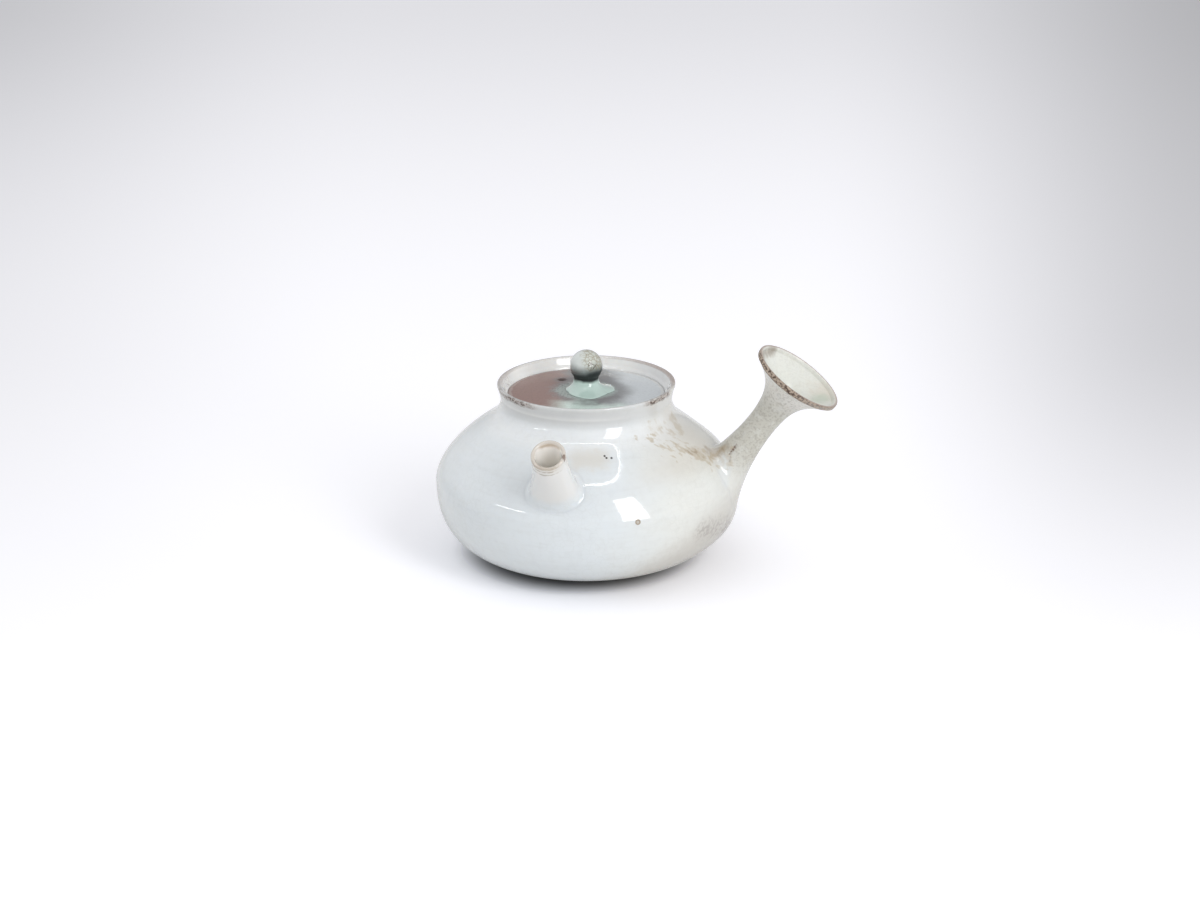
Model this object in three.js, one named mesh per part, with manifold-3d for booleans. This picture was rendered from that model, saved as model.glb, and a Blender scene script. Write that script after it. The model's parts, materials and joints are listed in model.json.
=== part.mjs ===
// A side-handled porcelain teapot, a kyusu: a squat thrown body with a short flared collar, a
// short spout over a pierced clay strainer, a hollow trumpet handle square to the spout, and a
// flat drop-in lid with a ball knob.
// Millimetres, +Z up. The origin is the centre of the foot's flat underside, on the pot's own axis.
// The spout points along -Y and the handle along +X.
import * as THREE from "three";
import { mergeVertices } from "three/addons/utils/BufferGeometryUtils.js";
import Module from "manifold-3d";

const wasm = await Module();
wasm.setup();

// Body. Below and above the belly its outline is a quarter of a superellipse.
const BELLY_R = 54.3;
const BELLY_Z = 31; // height of the widest point
const LOWER_R = 18; // the lower quarter's inner end
const LOWER_DROP = 28.4;
const LOWER_POWER = 2.7;
const SHOULDER_RISE = 33.8;
const SHOULDER_POWER = 1.6;
const SHOULDER_TOP_Z = 55; // the shoulder turns up into the collar here
const NECK_R = 30.8; // waist of the collar
const NECK_Z = 59;
const NECK_BENDS = [[0.6, 1.6], [0, 2.6]]; // bends on the way there: past NECK_R, above the shoulder
const RIM_R = 32; // outside of the lip
const RIM_Z = 66;
const LIP = 1.5; // thickness of the lip
const WALL = 2.4;
const FOOT_R = 26;
const FOOT_H = 2.8;

// Lid and its seat
const LID_R = 27.6;
const LID_EDGE_Z = 62.3; // top face of the lid at its edge
const LID_T = 2.3;
const LID_CROWN = 0.8; // the lid's middle stands this much above its edge
const LID_CROWN_POWER = 1.5; // how the crown falls off towards the edge
const LID_CROWN_RINGS = [21, 15]; // radii at which it is drawn
const SEAT_GAP = 0.5; // around the lid
const THROAT_R = 25.4;
const THROAT_Z = 57; // underside of the ledge at the throat
const LEDGE_DROP = 3.2; // and how much lower it meets the wall
const FLANGE_R = 24.7;
const FLANGE_T = 1.8;
const FLANGE_H = 6.2;
const VENT_R = 1.9;
const VENT_X = -11.3;
const VENT_Y = 11.2;

// Knob
const BALL_R = 5.85;
const BALL_RISE = 9.2; // centre of the ball above the knob's foot
const WAIST_R = 4.6;
const KNOB_FOOT_R = 8.8;
const KNOB_EDGE = 0.35; // height of the foot's rim
const FLARE_LOW = [1.6, 0.9]; // the foot's curve: outside WAIST_R, above the lid
const FLARE_HIGH = 2; // where it turns upright
const WAIST_Z = 4;

// Spout. Heights and reaches are of the centre of its mouth.
const SPOUT_REACH = 62.4;
const SPOUT_TOP = 60.1;
const SPOUT_SLOPE = THREE.MathUtils.degToRad(55); // above the horizontal
const SPOUT_CUT = THREE.MathUtils.degToRad(4); // the mouth faces this much lower than the tube
const SPOUT_R = 5.95;
const SPOUT_WALL = 1.25;
const SPOUT_WALL_GAIN = 0.05; // per mm of depth
const SPOUT_SPREAD = 0.0056; // widening sideways, times the depth squared
const SPOUT_BACK_SPREAD = 0.005; // and on the side that faces up
const SPOUT_LIP = 0.35; // chamfer

// Handle
const HANDLE_REACH = 76.3;
const HANDLE_TOP = 73;
const HANDLE_SLOPE = THREE.MathUtils.degToRad(55.7);
const HANDLE_MOUTH_R = 16.6;
const HANDLE_WAIST_R = 4.9;
const HANDLE_WAIST_AT = 20; // back from the mouth
const HANDLE_LIP = 1.6; // height of the straight edge round the mouth
const HANDLE_WALL = 1.7;
const HANDLE_LIP_GAIN = 0.4; // extra wall at the mouth
const FLARE_FALL = 0.165; // how fast the flare falls off behind the lip
const FLARE_FALL_MORE = 0.005; // times the distance squared
const ROOT_SPREAD = 0.0055; // widening behind the waist, times the distance squared
const ROOT_UNDER = 0.0012; // less of it underneath, more above

// Strainer, a pierced dome over the outlet
const STRAINER_R = 11;
const STRAINER_DEPTH = 6;
const STRAINER_T = 1.5;
const STRAINER_RUN = 7; // past the wall's inside, before it is trimmed
const STRAINER_Z = 41;
const STRAINER_SLOPE = THREE.MathUtils.degToRad(36);
const OUTLET_R = 6.6; // hole through the body's wall
const OUTLET_FROM = 14; // behind the spout's mouth
const OUTLET_TO = 38;
const HOLE_R = 0.9;
const HOLE_RINGS = [[0, 1], [2.9, 6], [5.8, 12]]; // radius of a ring of holes, and how many

const JOINT_GAP = 0.3; // between two luted pieces
const SKIRT_EDGE = 0.8; // height of a root's thin edge above the body
const SKIRT_STEPS = 5;
const DEEPEST = 64; // no line along a tube meets the body further back than this
const HALVINGS = 26; // of that depth, to find where it does
const ROUND = 56; // sides of the body and the lid
const SMALL_ROUND = 28; // sides of the spout, the handle and the knob

const p2 = (r, z) => new THREE.Vector2(r, z);

// Turns a closed (radius, height) outline about +Z
const turned = (outline, sides) => new THREE.LatheGeometry(outline, sides).rotateX(Math.PI / 2);

function solidOf(geometry) {
  const points = geometry.toNonIndexed().getAttribute("position");
  const merged = mergeVertices(new THREE.BufferGeometry().setAttribute("position", points), 1e-4);
  return new wasm.Manifold(new wasm.Mesh({
    numProp: 3,
    vertProperties: merged.attributes.position.array,
    triVerts: new Uint32Array(merged.index.array),
  }));
}

function geometryOf(solid) {
  const mesh = solid.getMesh();
  const geometry = new THREE.BufferGeometry()
    .setAttribute("position", new THREE.BufferAttribute(new Float32Array(mesh.vertProperties), 3))
    .setIndex(new THREE.BufferAttribute(new Uint32Array(mesh.triVerts), 1));
  geometry.computeVertexNormals();
  return geometry;
}

// Outside radius of the body at a height, up to the start of the collar
function bodyRadius(z) {
  if (z < BELLY_Z) {
    const fall = Math.min(1, (BELLY_Z - z) / LOWER_DROP);
    return LOWER_R + (BELLY_R - LOWER_R) * (1 - fall ** LOWER_POWER) ** (1 / LOWER_POWER);
  }
  const rise = Math.min(1, (z - BELLY_Z) / SHOULDER_RISE);
  return BELLY_R * (1 - rise ** SHOULDER_POWER) ** (1 / SHOULDER_POWER);
}

// The body's radius at a height, moved out by a distance square to its surface
function offsetRadius(z, out) {
  const step = 0.1;
  const slope = (bodyRadius(z + step) - bodyRadius(z - step)) / (2 * step);
  return bodyRadius(z) + out * Math.hypot(1, slope);
}

// The thrown shell with its collar and the ledge that the lid sits on
function bodyShell() {
  const outside = [];
  const lowSteps = 12;
  for (let i = 0; i <= lowSteps; i++) {
    const z = BELLY_Z - (BELLY_Z - FOOT_H) * Math.cos((i / lowSteps) * (Math.PI / 2));
    outside.push(p2(bodyRadius(z), z));
  }
  const highSteps = 10;
  for (let i = 1; i <= highSteps; i++) {
    const z = BELLY_Z + ((SHOULDER_TOP_Z - BELLY_Z) * i) / highSteps;
    outside.push(p2(bodyRadius(z), z));
  }
  const bends = NECK_BENDS.map(([out, up]) => p2(NECK_R + out, SHOULDER_TOP_Z + up));
  const collar = new THREE.CubicBezierCurve(outside.at(-1), ...bends, p2(NECK_R, NECK_Z))
    .getPoints(4)
    .slice(1);
  const lip = [
    p2(RIM_R, RIM_Z - LIP / 2),
    p2(RIM_R - LIP / 4, RIM_Z - LIP / 8),
    p2(RIM_R - LIP / 2, RIM_Z),
    p2(RIM_R - LIP, RIM_Z - LIP / 4),
  ];
  const seatR = LID_R + SEAT_GAP;
  const seatZ = LID_EDGE_Z - LID_T;
  const seat = [
    p2(seatR, LID_EDGE_Z - LIP / 4),
    p2(seatR, seatZ),
    p2(THROAT_R, seatZ),
    p2(THROAT_R, THROAT_Z),
  ];
  const floorZ = FOOT_H + WALL;
  const outline = [p2(0, FOOT_H), ...outside, ...collar, ...lip, ...seat, ...insideOutline(0), p2(0, floorZ)];
  return turned(outline, ROUND);
}

// The inside of the wall from under the ledge down to the floor, drawn in by a gap
function insideOutline(gap) {
  const ceiling = THROAT_Z - LEDGE_DROP;
  const floorZ = FOOT_H + WALL + gap;
  const steps = 14;
  const outline = [];
  for (let i = 0; i < steps; i++) {
    const z = ceiling - ((ceiling - floorZ) * i) / steps;
    outline.push(p2(offsetRadius(z, -WALL - gap), z));
  }
  outline.push(p2(FOOT_R - WALL, floorZ));
  return outline;
}

// Where a tube's mouth is and which way it points. Its own +Z runs out along the tube and its +X
// is square to that, on the side that faces down and away from the pot.
function tubeFrame(reach, top, slope, outwards) {
  const along = outwards.clone().multiplyScalar(Math.cos(slope)).setZ(Math.sin(slope));
  const under = outwards.clone().multiplyScalar(Math.sin(slope)).setZ(-Math.cos(slope));
  const across = along.clone().cross(under);
  const place = outwards.clone().multiplyScalar(reach).setZ(top);
  return new THREE.Matrix4().makeBasis(under, across, along).setPosition(place);
}

// How far back from the mouth a line along the tube meets the body, moved out by a gap
function wallDepth(frame, x, y, gap) {
  let outside = 0;
  let inside = DEEPEST;
  const point = new THREE.Vector3();
  for (let i = 0; i < HALVINGS; i++) {
    const middle = (outside + inside) / 2;
    point.set(x, y, -middle).applyMatrix4(frame);
    if (Math.hypot(point.x, point.y) > offsetRadius(point.z, gap)) outside = middle;
    else inside = middle;
  }
  return outside;
}

// The depth at which a tube of changing section reaches the body, moved out by a gap
function rootDepth(frame, section, turn, gap) {
  let depth = 0;
  for (let i = 0; i < HALVINGS; i++) {
    const [x, y] = section(depth, turn);
    depth = (depth + wallDepth(frame, x, y, gap)) / 2;
  }
  return depth;
}

// The nearest point of the body to one close to it, moved out by a gap
function ontoBody(point, gap) {
  const across = Math.hypot(point.x, point.y);
  const scale = offsetRadius(point.z, gap) / across;
  return new THREE.Vector3(point.x * scale, point.y * scale, point.z);
}

// The way a direction runs once it is laid on the body's surface
function alongBody(direction, point) {
  const step = 0.1;
  const slope = (bodyRadius(point.z + step) - bodyRadius(point.z - step)) / (2 * step);
  const normal = new THREE.Vector3(point.x, point.y, 0).normalize().setZ(-slope).normalize();
  return direction.clone().projectOnPlane(normal).normalize();
}

// A tube that grows out of the body. Its outside runs from a soft skirt on the body up to the
// mouth, turns over the lip and comes back down the bore to the body's wall.
function rootedTube(tube) {
  const toTube = tube.frame.clone().invert();
  const inner = (depth, turn) => {
    const [x, y] = tube.section(depth, turn);
    const wall = tube.wall(depth);
    return [x - wall * Math.cos(turn), y - wall * Math.sin(turn)];
  };
  const inWorld = (x, y, depth) => new THREE.Vector3(x, y, -depth).applyMatrix4(tube.frame);
  const columns = [];
  for (let side = 0; side < SMALL_ROUND; side++) {
    const turn = (side / SMALL_ROUND) * 2 * Math.PI;
    const column = [];
    const add = (x, y, depth) => column.push([x, y, -depth]);
    const addWorld = (point) => column.push(point.clone().applyMatrix4(toTube).toArray());

    const meets = rootDepth(tube.frame, tube.section, turn, 0);
    const corner = inWorld(...tube.section(meets, turn), meets);
    const start = inWorld(...tube.section(meets - tube.rise(turn), turn), meets - tube.rise(turn));
    const outwards = new THREE.Vector3(Math.cos(turn), Math.sin(turn), 0).transformDirection(tube.frame);
    const edge = alongBody(outwards, corner).multiplyScalar(tube.reach(turn)).add(corner);

    const boreEnd = rootDepth(tube.frame, inner, turn, JOINT_GAP);
    const bore = inWorld(...inner(boreEnd, turn), boreEnd);
    addWorld(ontoBody(bore.clone().lerp(edge, 0.5), JOINT_GAP));
    addWorld(ontoBody(edge, JOINT_GAP));
    const skirt = new THREE.QuadraticBezierCurve3(
      ontoBody(edge, SKIRT_EDGE),
      ontoBody(corner, SKIRT_EDGE),
      start,
    );
    skirt.getPoints(SKIRT_STEPS).slice(0, -1).forEach(addWorld);

    for (const part of tube.outsideSteps) {
      const depth = (meets - tube.rise(turn)) * part;
      const [x, y] = tube.section(depth, turn);
      add(x, y, depth + tube.cut(x) * (1 - part));
    }
    for (const [drawIn, depth] of tube.lip) {
      const [mouthX, mouthY] = tube.section(0, turn);
      const x = mouthX - drawIn * Math.cos(turn);
      const y = mouthY - drawIn * Math.sin(turn);
      add(x, y, depth + tube.cut(x));
    }
    for (const part of tube.boreSteps) {
      const depth = boreEnd * part;
      const [x, y] = inner(depth, turn);
      add(x, y, depth + tube.cut(x) * (1 - part));
    }
    columns.push(column);
  }
  return gridGeometry(columns);
}

// A closed ring of columns of points, each column closed on itself
function gridGeometry(columns) {
  const rows = columns[0].length;
  const index = [];
  for (let i = 0; i < columns.length; i++) {
    for (let j = 0; j < rows; j++) {
      const a = i * rows + j;
      const b = ((i + 1) % columns.length) * rows + j;
      const c = ((i + 1) % columns.length) * rows + ((j + 1) % rows);
      const d = i * rows + ((j + 1) % rows);
      index.push(a, b, c, a, c, d);
    }
  }
  const geometry = new THREE.BufferGeometry();
  geometry.setAttribute("position", new THREE.Float32BufferAttribute(columns.flat(2), 3));
  geometry.setIndex(index);
  geometry.computeVertexNormals();
  return geometry;
}

// Steps from the root to the mouth as parts of the whole depth
const evenSteps = (count, first, last) =>
  Array.from({ length: count }, (unused, i) => first + ((last - first) * i) / (count - 1));

// The spout widens sideways towards its root and stays slim underneath
const spout = {
  frame: tubeFrame(SPOUT_REACH, SPOUT_TOP, SPOUT_SLOPE, new THREE.Vector3(0, -1, 0)),
  section(depth, turn) {
    const across = SPOUT_R + SPOUT_SPREAD * depth ** 2;
    const lengthways = SPOUT_R + (Math.cos(turn) > 0 ? 0 : SPOUT_BACK_SPREAD * depth ** 2);
    return [lengthways * Math.cos(turn), across * Math.sin(turn)];
  },
  wall: (depth) => SPOUT_WALL + SPOUT_WALL_GAIN * depth,
  cut: (x) => x * Math.tan(SPOUT_CUT),
  reach: (turn) => 2 - 0.6 * Math.cos(turn),
  rise: () => 3,
  outsideSteps: evenSteps(9, 1, 0.03),
  lip: [[SPOUT_LIP, 0], [SPOUT_WALL - SPOUT_LIP, 0]],
  boreSteps: evenSteps(7, 0.03, 1),
};

// The handle is a trumpet: a falling flare behind the mouth's straight lip, a waist, and a slow
// widening to the root
const handle = {
  frame: tubeFrame(HANDLE_REACH, HANDLE_TOP, HANDLE_SLOPE, new THREE.Vector3(1, 0, 0)),
  section(depth, turn) {
    const back = Math.max(0, depth - HANDLE_LIP);
    const fall = Math.exp(-FLARE_FALL * back - FLARE_FALL_MORE * back ** 2);
    const flare = (HANDLE_MOUTH_R - HANDLE_WAIST_R) * fall;
    const spread = ROOT_SPREAD - ROOT_UNDER * Math.cos(turn);
    const root = spread * Math.max(0, depth - HANDLE_WAIST_AT) ** 2;
    const radius = HANDLE_WAIST_R + flare + root;
    return [radius * Math.cos(turn), radius * Math.sin(turn)];
  },
  wall: (depth) => HANDLE_WALL + HANDLE_LIP_GAIN * Math.exp(-depth / 2),
  cut: () => 0,
  reach: (turn) => 2.8 + 0.8 * Math.cos(turn),
  rise: (turn) => 4.5 + 1.5 * Math.cos(turn),
  outsideSteps: [...evenSteps(9, 1, 0.36), 0.29, 0.24, 0.2, 0.165, 0.135, 0.105, 0.075, 0.045],
  lip: [[0, HANDLE_LIP / 4], [0.5, 0], [1.3, 0], [2.1, 0.6]],
  boreSteps: [0.03, 0.06, 0.09, 0.125, 0.165, 0.21, 0.27, 0.36, 0.5, 0.7, 0.85, 1],
};

// The outlet runs through the wall in line with the spout
function bodySolid() {
  const length = OUTLET_TO - OUTLET_FROM;
  const outlet = new THREE.CylinderGeometry(OUTLET_R, OUTLET_R, length, SMALL_ROUND)
    .rotateX(Math.PI / 2)
    .translate(0, 0, -(OUTLET_FROM + OUTLET_TO) / 2)
    .applyMatrix4(spout.frame);
  return solidOf(bodyShell()).subtract(solidOf(outlet));
}

const strainerFrame = tubeFrame(
  bodyRadius(STRAINER_Z) - WALL,
  STRAINER_Z,
  STRAINER_SLOPE,
  new THREE.Vector3(0, -1, 0),
);

// A dome bulging into the pot, pierced in rings and trimmed to the inside of the wall
function strainerSolid() {
  const steps = 7;
  const arc = (radius, depth) => {
    const points = [];
    for (let i = 0; i <= steps; i++) {
      const turn = (i / steps) * (Math.PI / 2);
      points.push(p2(radius * Math.sin(turn), -depth * Math.cos(turn)));
    }
    return points;
  };
  const innerR = STRAINER_R - STRAINER_T;
  const outline = [
    ...arc(STRAINER_R, STRAINER_DEPTH),
    p2(STRAINER_R, STRAINER_RUN),
    p2(innerR, STRAINER_RUN),
    ...arc(innerR, STRAINER_DEPTH - STRAINER_T).reverse(),
  ];
  let dome = solidOf(turned(outline, SMALL_ROUND));
  const drill = new THREE.CylinderGeometry(HOLE_R, HOLE_R, STRAINER_DEPTH * 2, 8).rotateX(Math.PI / 2);
  for (const [radius, count] of HOLE_RINGS) {
    for (let i = 0; i < count; i++) {
      const angle = (i / count) * 2 * Math.PI;
      const hole = drill.clone().translate(radius * Math.cos(angle), radius * Math.sin(angle), 0);
      dome = dome.subtract(solidOf(hole));
    }
  }
  const wall = insideOutline(JOINT_GAP).reverse();
  const hollow = turned([p2(0, wall[0].y), ...wall, p2(0, wall.at(-1).y)], ROUND)
    .applyMatrix4(strainerFrame.clone().invert());
  return dome.intersect(solidOf(hollow));
}

// A flat disc, crowned a little, with a steam vent beside the knob
function lidSolid() {
  const bottom = LID_EDGE_Z - LID_T;
  const edge = 0.45;
  const crown = LID_CROWN_RINGS.map((r) => {
    const out = (r - KNOB_FOOT_R) / (LID_R - KNOB_FOOT_R);
    return p2(r, LID_EDGE_Z + LID_CROWN * (1 - out ** LID_CROWN_POWER));
  });
  const outline = [
    p2(0, bottom),
    p2(LID_R - edge, bottom),
    p2(LID_R, bottom + edge),
    p2(LID_R, LID_EDGE_Z - edge),
    p2(LID_R - edge, LID_EDGE_Z),
    ...crown,
    p2(KNOB_FOOT_R, LID_EDGE_Z + LID_CROWN),
    p2(0, LID_EDGE_Z + LID_CROWN),
  ];
  const vent = new THREE.CylinderGeometry(VENT_R, VENT_R, LID_T * 4, 16)
    .rotateX(Math.PI / 2)
    .translate(VENT_X, VENT_Y, LID_EDGE_Z);
  return solidOf(turned(outline, ROUND)).subtract(solidOf(vent));
}

// The ring under the lid that keeps it from sliding off its seat
function flangeOutline() {
  const top = LID_EDGE_Z - LID_T;
  const inner = FLANGE_R - FLANGE_T;
  const edge = 0.6;
  return [
    p2(inner, top),
    p2(inner, top - FLANGE_H + edge),
    p2(inner + edge, top - FLANGE_H),
    p2(FLANGE_R - edge, top - FLANGE_H),
    p2(FLANGE_R, top - FLANGE_H + edge),
    p2(FLANGE_R, top),
    p2(inner, top),
  ];
}

// A ball on a short waist that flares to a foot spread on the lid
function knobOutline() {
  const [lowOut, lowZ] = FLARE_LOW;
  const flare = new THREE.CubicBezierCurve(
    p2(KNOB_FOOT_R, KNOB_EDGE),
    p2(WAIST_R + lowOut, lowZ),
    p2(WAIST_R, FLARE_HIGH),
    p2(WAIST_R, WAIST_Z),
  ).getPoints(7);
  const under = Math.PI - Math.asin(WAIST_R / BALL_R);
  const steps = 12;
  const ball = [];
  for (let i = 0; i < steps; i++) {
    const turn = under * (1 - i / steps);
    ball.push(p2(BALL_R * Math.sin(turn), BALL_RISE + BALL_R * Math.cos(turn)));
  }
  return [p2(0, 0), p2(KNOB_FOOT_R, 0), ...flare, ...ball, p2(0, BALL_RISE + BALL_R)];
}

function footOutline() {
  const bevel = 0.6;
  return [p2(0, 0), p2(FOOT_R - bevel, 0), p2(FOOT_R, bevel), p2(FOOT_R, FOOT_H), p2(0, FOOT_H)];
}

const glaze = (color, roughness) => new THREE.MeshStandardMaterial({ color, roughness, metalness: 0 });
const whiteGlaze = glaze(0xdfe3e4, 0.12);
const creamGlaze = glaze(0xd6d6cb, 0.3);
const bareClay = glaze(0xb5a795, 0.8);
const lidGlaze = glaze(0x9fa0a3, 0.15);
const celadonGlaze = glaze(0xa9c0b5, 0.2);

function piece(name, geometry, material, frame) {
  const mesh = new THREE.Mesh(geometry, material);
  mesh.name = name;
  if (frame) frame.decompose(mesh.position, mesh.quaternion, mesh.scale);
  return mesh;
}

const pot = new THREE.Group();
pot.add(
  piece("body", geometryOf(bodySolid()), whiteGlaze),
  piece("foot", turned(footOutline(), ROUND), bareClay),
  piece("spout", rootedTube(spout), whiteGlaze, spout.frame),
  piece("handle", rootedTube(handle), creamGlaze, handle.frame),
  piece("strainer", geometryOf(strainerSolid()), bareClay, strainerFrame),
);

const lid = new THREE.Group();
const onLid = new THREE.Matrix4().makeTranslation(0, 0, LID_EDGE_Z + LID_CROWN);
lid.add(
  piece("lid_plate", geometryOf(lidSolid()), lidGlaze),
  piece("lid_flange", turned(flangeOutline(), ROUND), bareClay),
  piece("lid_knob", turned(knobOutline(), SMALL_ROUND), celadonGlaze, onLid),
);

const teapot = new THREE.Group();
teapot.add(pot, lid);
export default teapot;
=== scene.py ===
# %% [markdown]
# # A porcelain teapot with a side handle
# The real pot is thrown on a wheel in several pieces: a squat body, a short spout, a trumpet for a
# handle and a flat lid with a ball knob. The pieces are joined while the clay is leather hard, then
# glazed and fired as one. Here they are made in the same order, and the glaze comes on with them.
# A construction model already holds every size. It is loaded first, and all that follows is built
# around it, so nothing has to be moved into place afterwards.

# %% Load the construction model
import json
import math

import bmesh
import bpy
import numpy as np
from mathutils import Matrix, Vector

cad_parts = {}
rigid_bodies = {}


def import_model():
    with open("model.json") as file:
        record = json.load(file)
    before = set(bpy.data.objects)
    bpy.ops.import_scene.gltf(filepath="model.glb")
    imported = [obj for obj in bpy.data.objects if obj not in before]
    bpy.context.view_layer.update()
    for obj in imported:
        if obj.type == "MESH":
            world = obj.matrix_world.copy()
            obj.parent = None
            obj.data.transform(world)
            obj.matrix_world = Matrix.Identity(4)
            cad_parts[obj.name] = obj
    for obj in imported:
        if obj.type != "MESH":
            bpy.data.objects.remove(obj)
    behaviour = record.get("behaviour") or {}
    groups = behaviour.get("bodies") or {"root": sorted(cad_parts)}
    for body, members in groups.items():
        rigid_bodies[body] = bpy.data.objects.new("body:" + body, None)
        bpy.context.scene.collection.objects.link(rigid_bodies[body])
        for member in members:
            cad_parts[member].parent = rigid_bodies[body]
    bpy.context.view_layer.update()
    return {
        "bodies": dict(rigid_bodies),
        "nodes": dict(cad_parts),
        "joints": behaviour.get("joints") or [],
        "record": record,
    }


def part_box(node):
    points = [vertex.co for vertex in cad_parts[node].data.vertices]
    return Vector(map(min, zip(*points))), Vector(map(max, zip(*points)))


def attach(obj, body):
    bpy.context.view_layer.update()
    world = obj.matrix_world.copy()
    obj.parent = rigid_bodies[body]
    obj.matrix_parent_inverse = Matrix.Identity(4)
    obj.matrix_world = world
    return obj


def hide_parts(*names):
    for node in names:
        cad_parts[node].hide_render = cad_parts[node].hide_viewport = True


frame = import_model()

# %% [markdown]
# ## Sizes
# A size that is typed twice can end up as two sizes. What the model can tell us is therefore
# measured on it. The rest are the potter's few choices about the curves, in millimetres, because
# a pot is easier to think about in millimetres than in Blender's metres.

# %% Measure the pieces and set the curves
MM = 0.001


def span(node):
    """Lowest and highest corner of a piece of the model, in millimetres."""
    return [np.array(corner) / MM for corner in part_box(node)]


BELLY_R, RIM_Z = span("body")[1][[0, 2]]
FOOT_R, FOOT_H = span("foot")[1][[0, 2]]
LID_R, LID_TOP_Z = span("lid_plate")[1][[0, 2]]
LID_UNDER_Z = span("lid_plate")[0][2]
FLANGE_R = span("lid_flange")[1][0]
FLANGE_LOW_Z = span("lid_flange")[0][2]
KNOB_TOP_Z = span("lid_knob")[1][2]
print("belly", BELLY_R, "rim height", RIM_Z, "lid", LID_R, "knob top", KNOB_TOP_Z)

BELLY_Z = 31
LOWER_R = 18
LOWER_DROP = 28.4
LOWER_POWER = 2.7
SHOULDER_RISE = 33.8
SHOULDER_POWER = 1.6
SHOULDER_TOP_Z = 52.6
NECK_R = 30.8
RIM_R = 32
WALL = 2.4
SEAT_R = LID_R + 0.5
THROAT_R = 25.4
THROAT_Z = 57
VENT_AT = (-11.3, 11.2)

# %% [markdown]
# ## The camera
# The photograph looks down on the pot by about 19 degrees, from a little to the right of the spout.
# A camera is easiest to place by what it looks at: a point inside the pot, a turn round it, a dip
# and a distance.

# %% Place the camera
CAMERA_TURN = math.radians(11.5)
CAMERA_DIP = math.radians(19.36)
CAMERA_DISTANCE = 0.8
CAMERA_AIM = Vector((0.00447, 0.00273, 0.03967))
CAMERA_LENS = 66

look = Vector((-math.sin(CAMERA_TURN) * math.cos(CAMERA_DIP),
               math.cos(CAMERA_TURN) * math.cos(CAMERA_DIP),
               -math.sin(CAMERA_DIP)))
camera = bpy.data.objects.new("camera", bpy.data.cameras.new("camera"))
camera.data.lens = CAMERA_LENS
camera.location = CAMERA_AIM - look * CAMERA_DISTANCE
camera.rotation_euler = (math.pi / 2 - CAMERA_DIP, 0, CAMERA_TURN)
bpy.context.scene.collection.objects.link(camera)
bpy.context.scene.camera = camera
print("camera at", [round(v / MM, 2) for v in camera.location], "mm")

# %% [markdown]
# ## Writing node trees as sums
# A finish is a formula over the surface: how far a point is from the rim, how cloudy the glaze is
# there, and so on. Wiring such a formula node by node is slow and hard to read. A small class that
# wraps an output socket lets us write `1 - mask * 0.5`, and Python adds the Math nodes.

# %% Sums on sockets
class Wire:
    """An output socket that can be used in a sum."""

    def __init__(self, sheet, socket):
        self.sheet = sheet
        self.socket = socket

    def math(self, operation, *terms):
        return self.sheet.node("ShaderNodeMath", {"operation": operation}, dict(enumerate(terms)))

    def __add__(self, other):
        return self.math("ADD", self, other)

    def __radd__(self, other):
        return self.math("ADD", other, self)

    def __sub__(self, other):
        return self.math("SUBTRACT", self, other)

    def __rsub__(self, other):
        return self.math("SUBTRACT", other, self)

    def __mul__(self, other):
        return self.math("MULTIPLY", self, other)

    def __rmul__(self, other):
        return self.math("MULTIPLY", other, self)

    def __truediv__(self, other):
        return self.math("DIVIDE", self, other)

    def __rtruediv__(self, other):
        return self.math("DIVIDE", other, self)

    def least(self, other):
        return self.math("MINIMUM", self, other)

    def most(self, other):
        return self.math("MAXIMUM", self, other)


# %% [markdown]
# ## A sheet to write them on
# The sheet holds one node tree. Its `node` method is the only place where nodes are made: it takes
# the type, then the settings, then what goes into the sockets, as numbers or as wires. The short
# methods below it are the few ideas that the glazes share. All of them work in millimetres.

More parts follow.
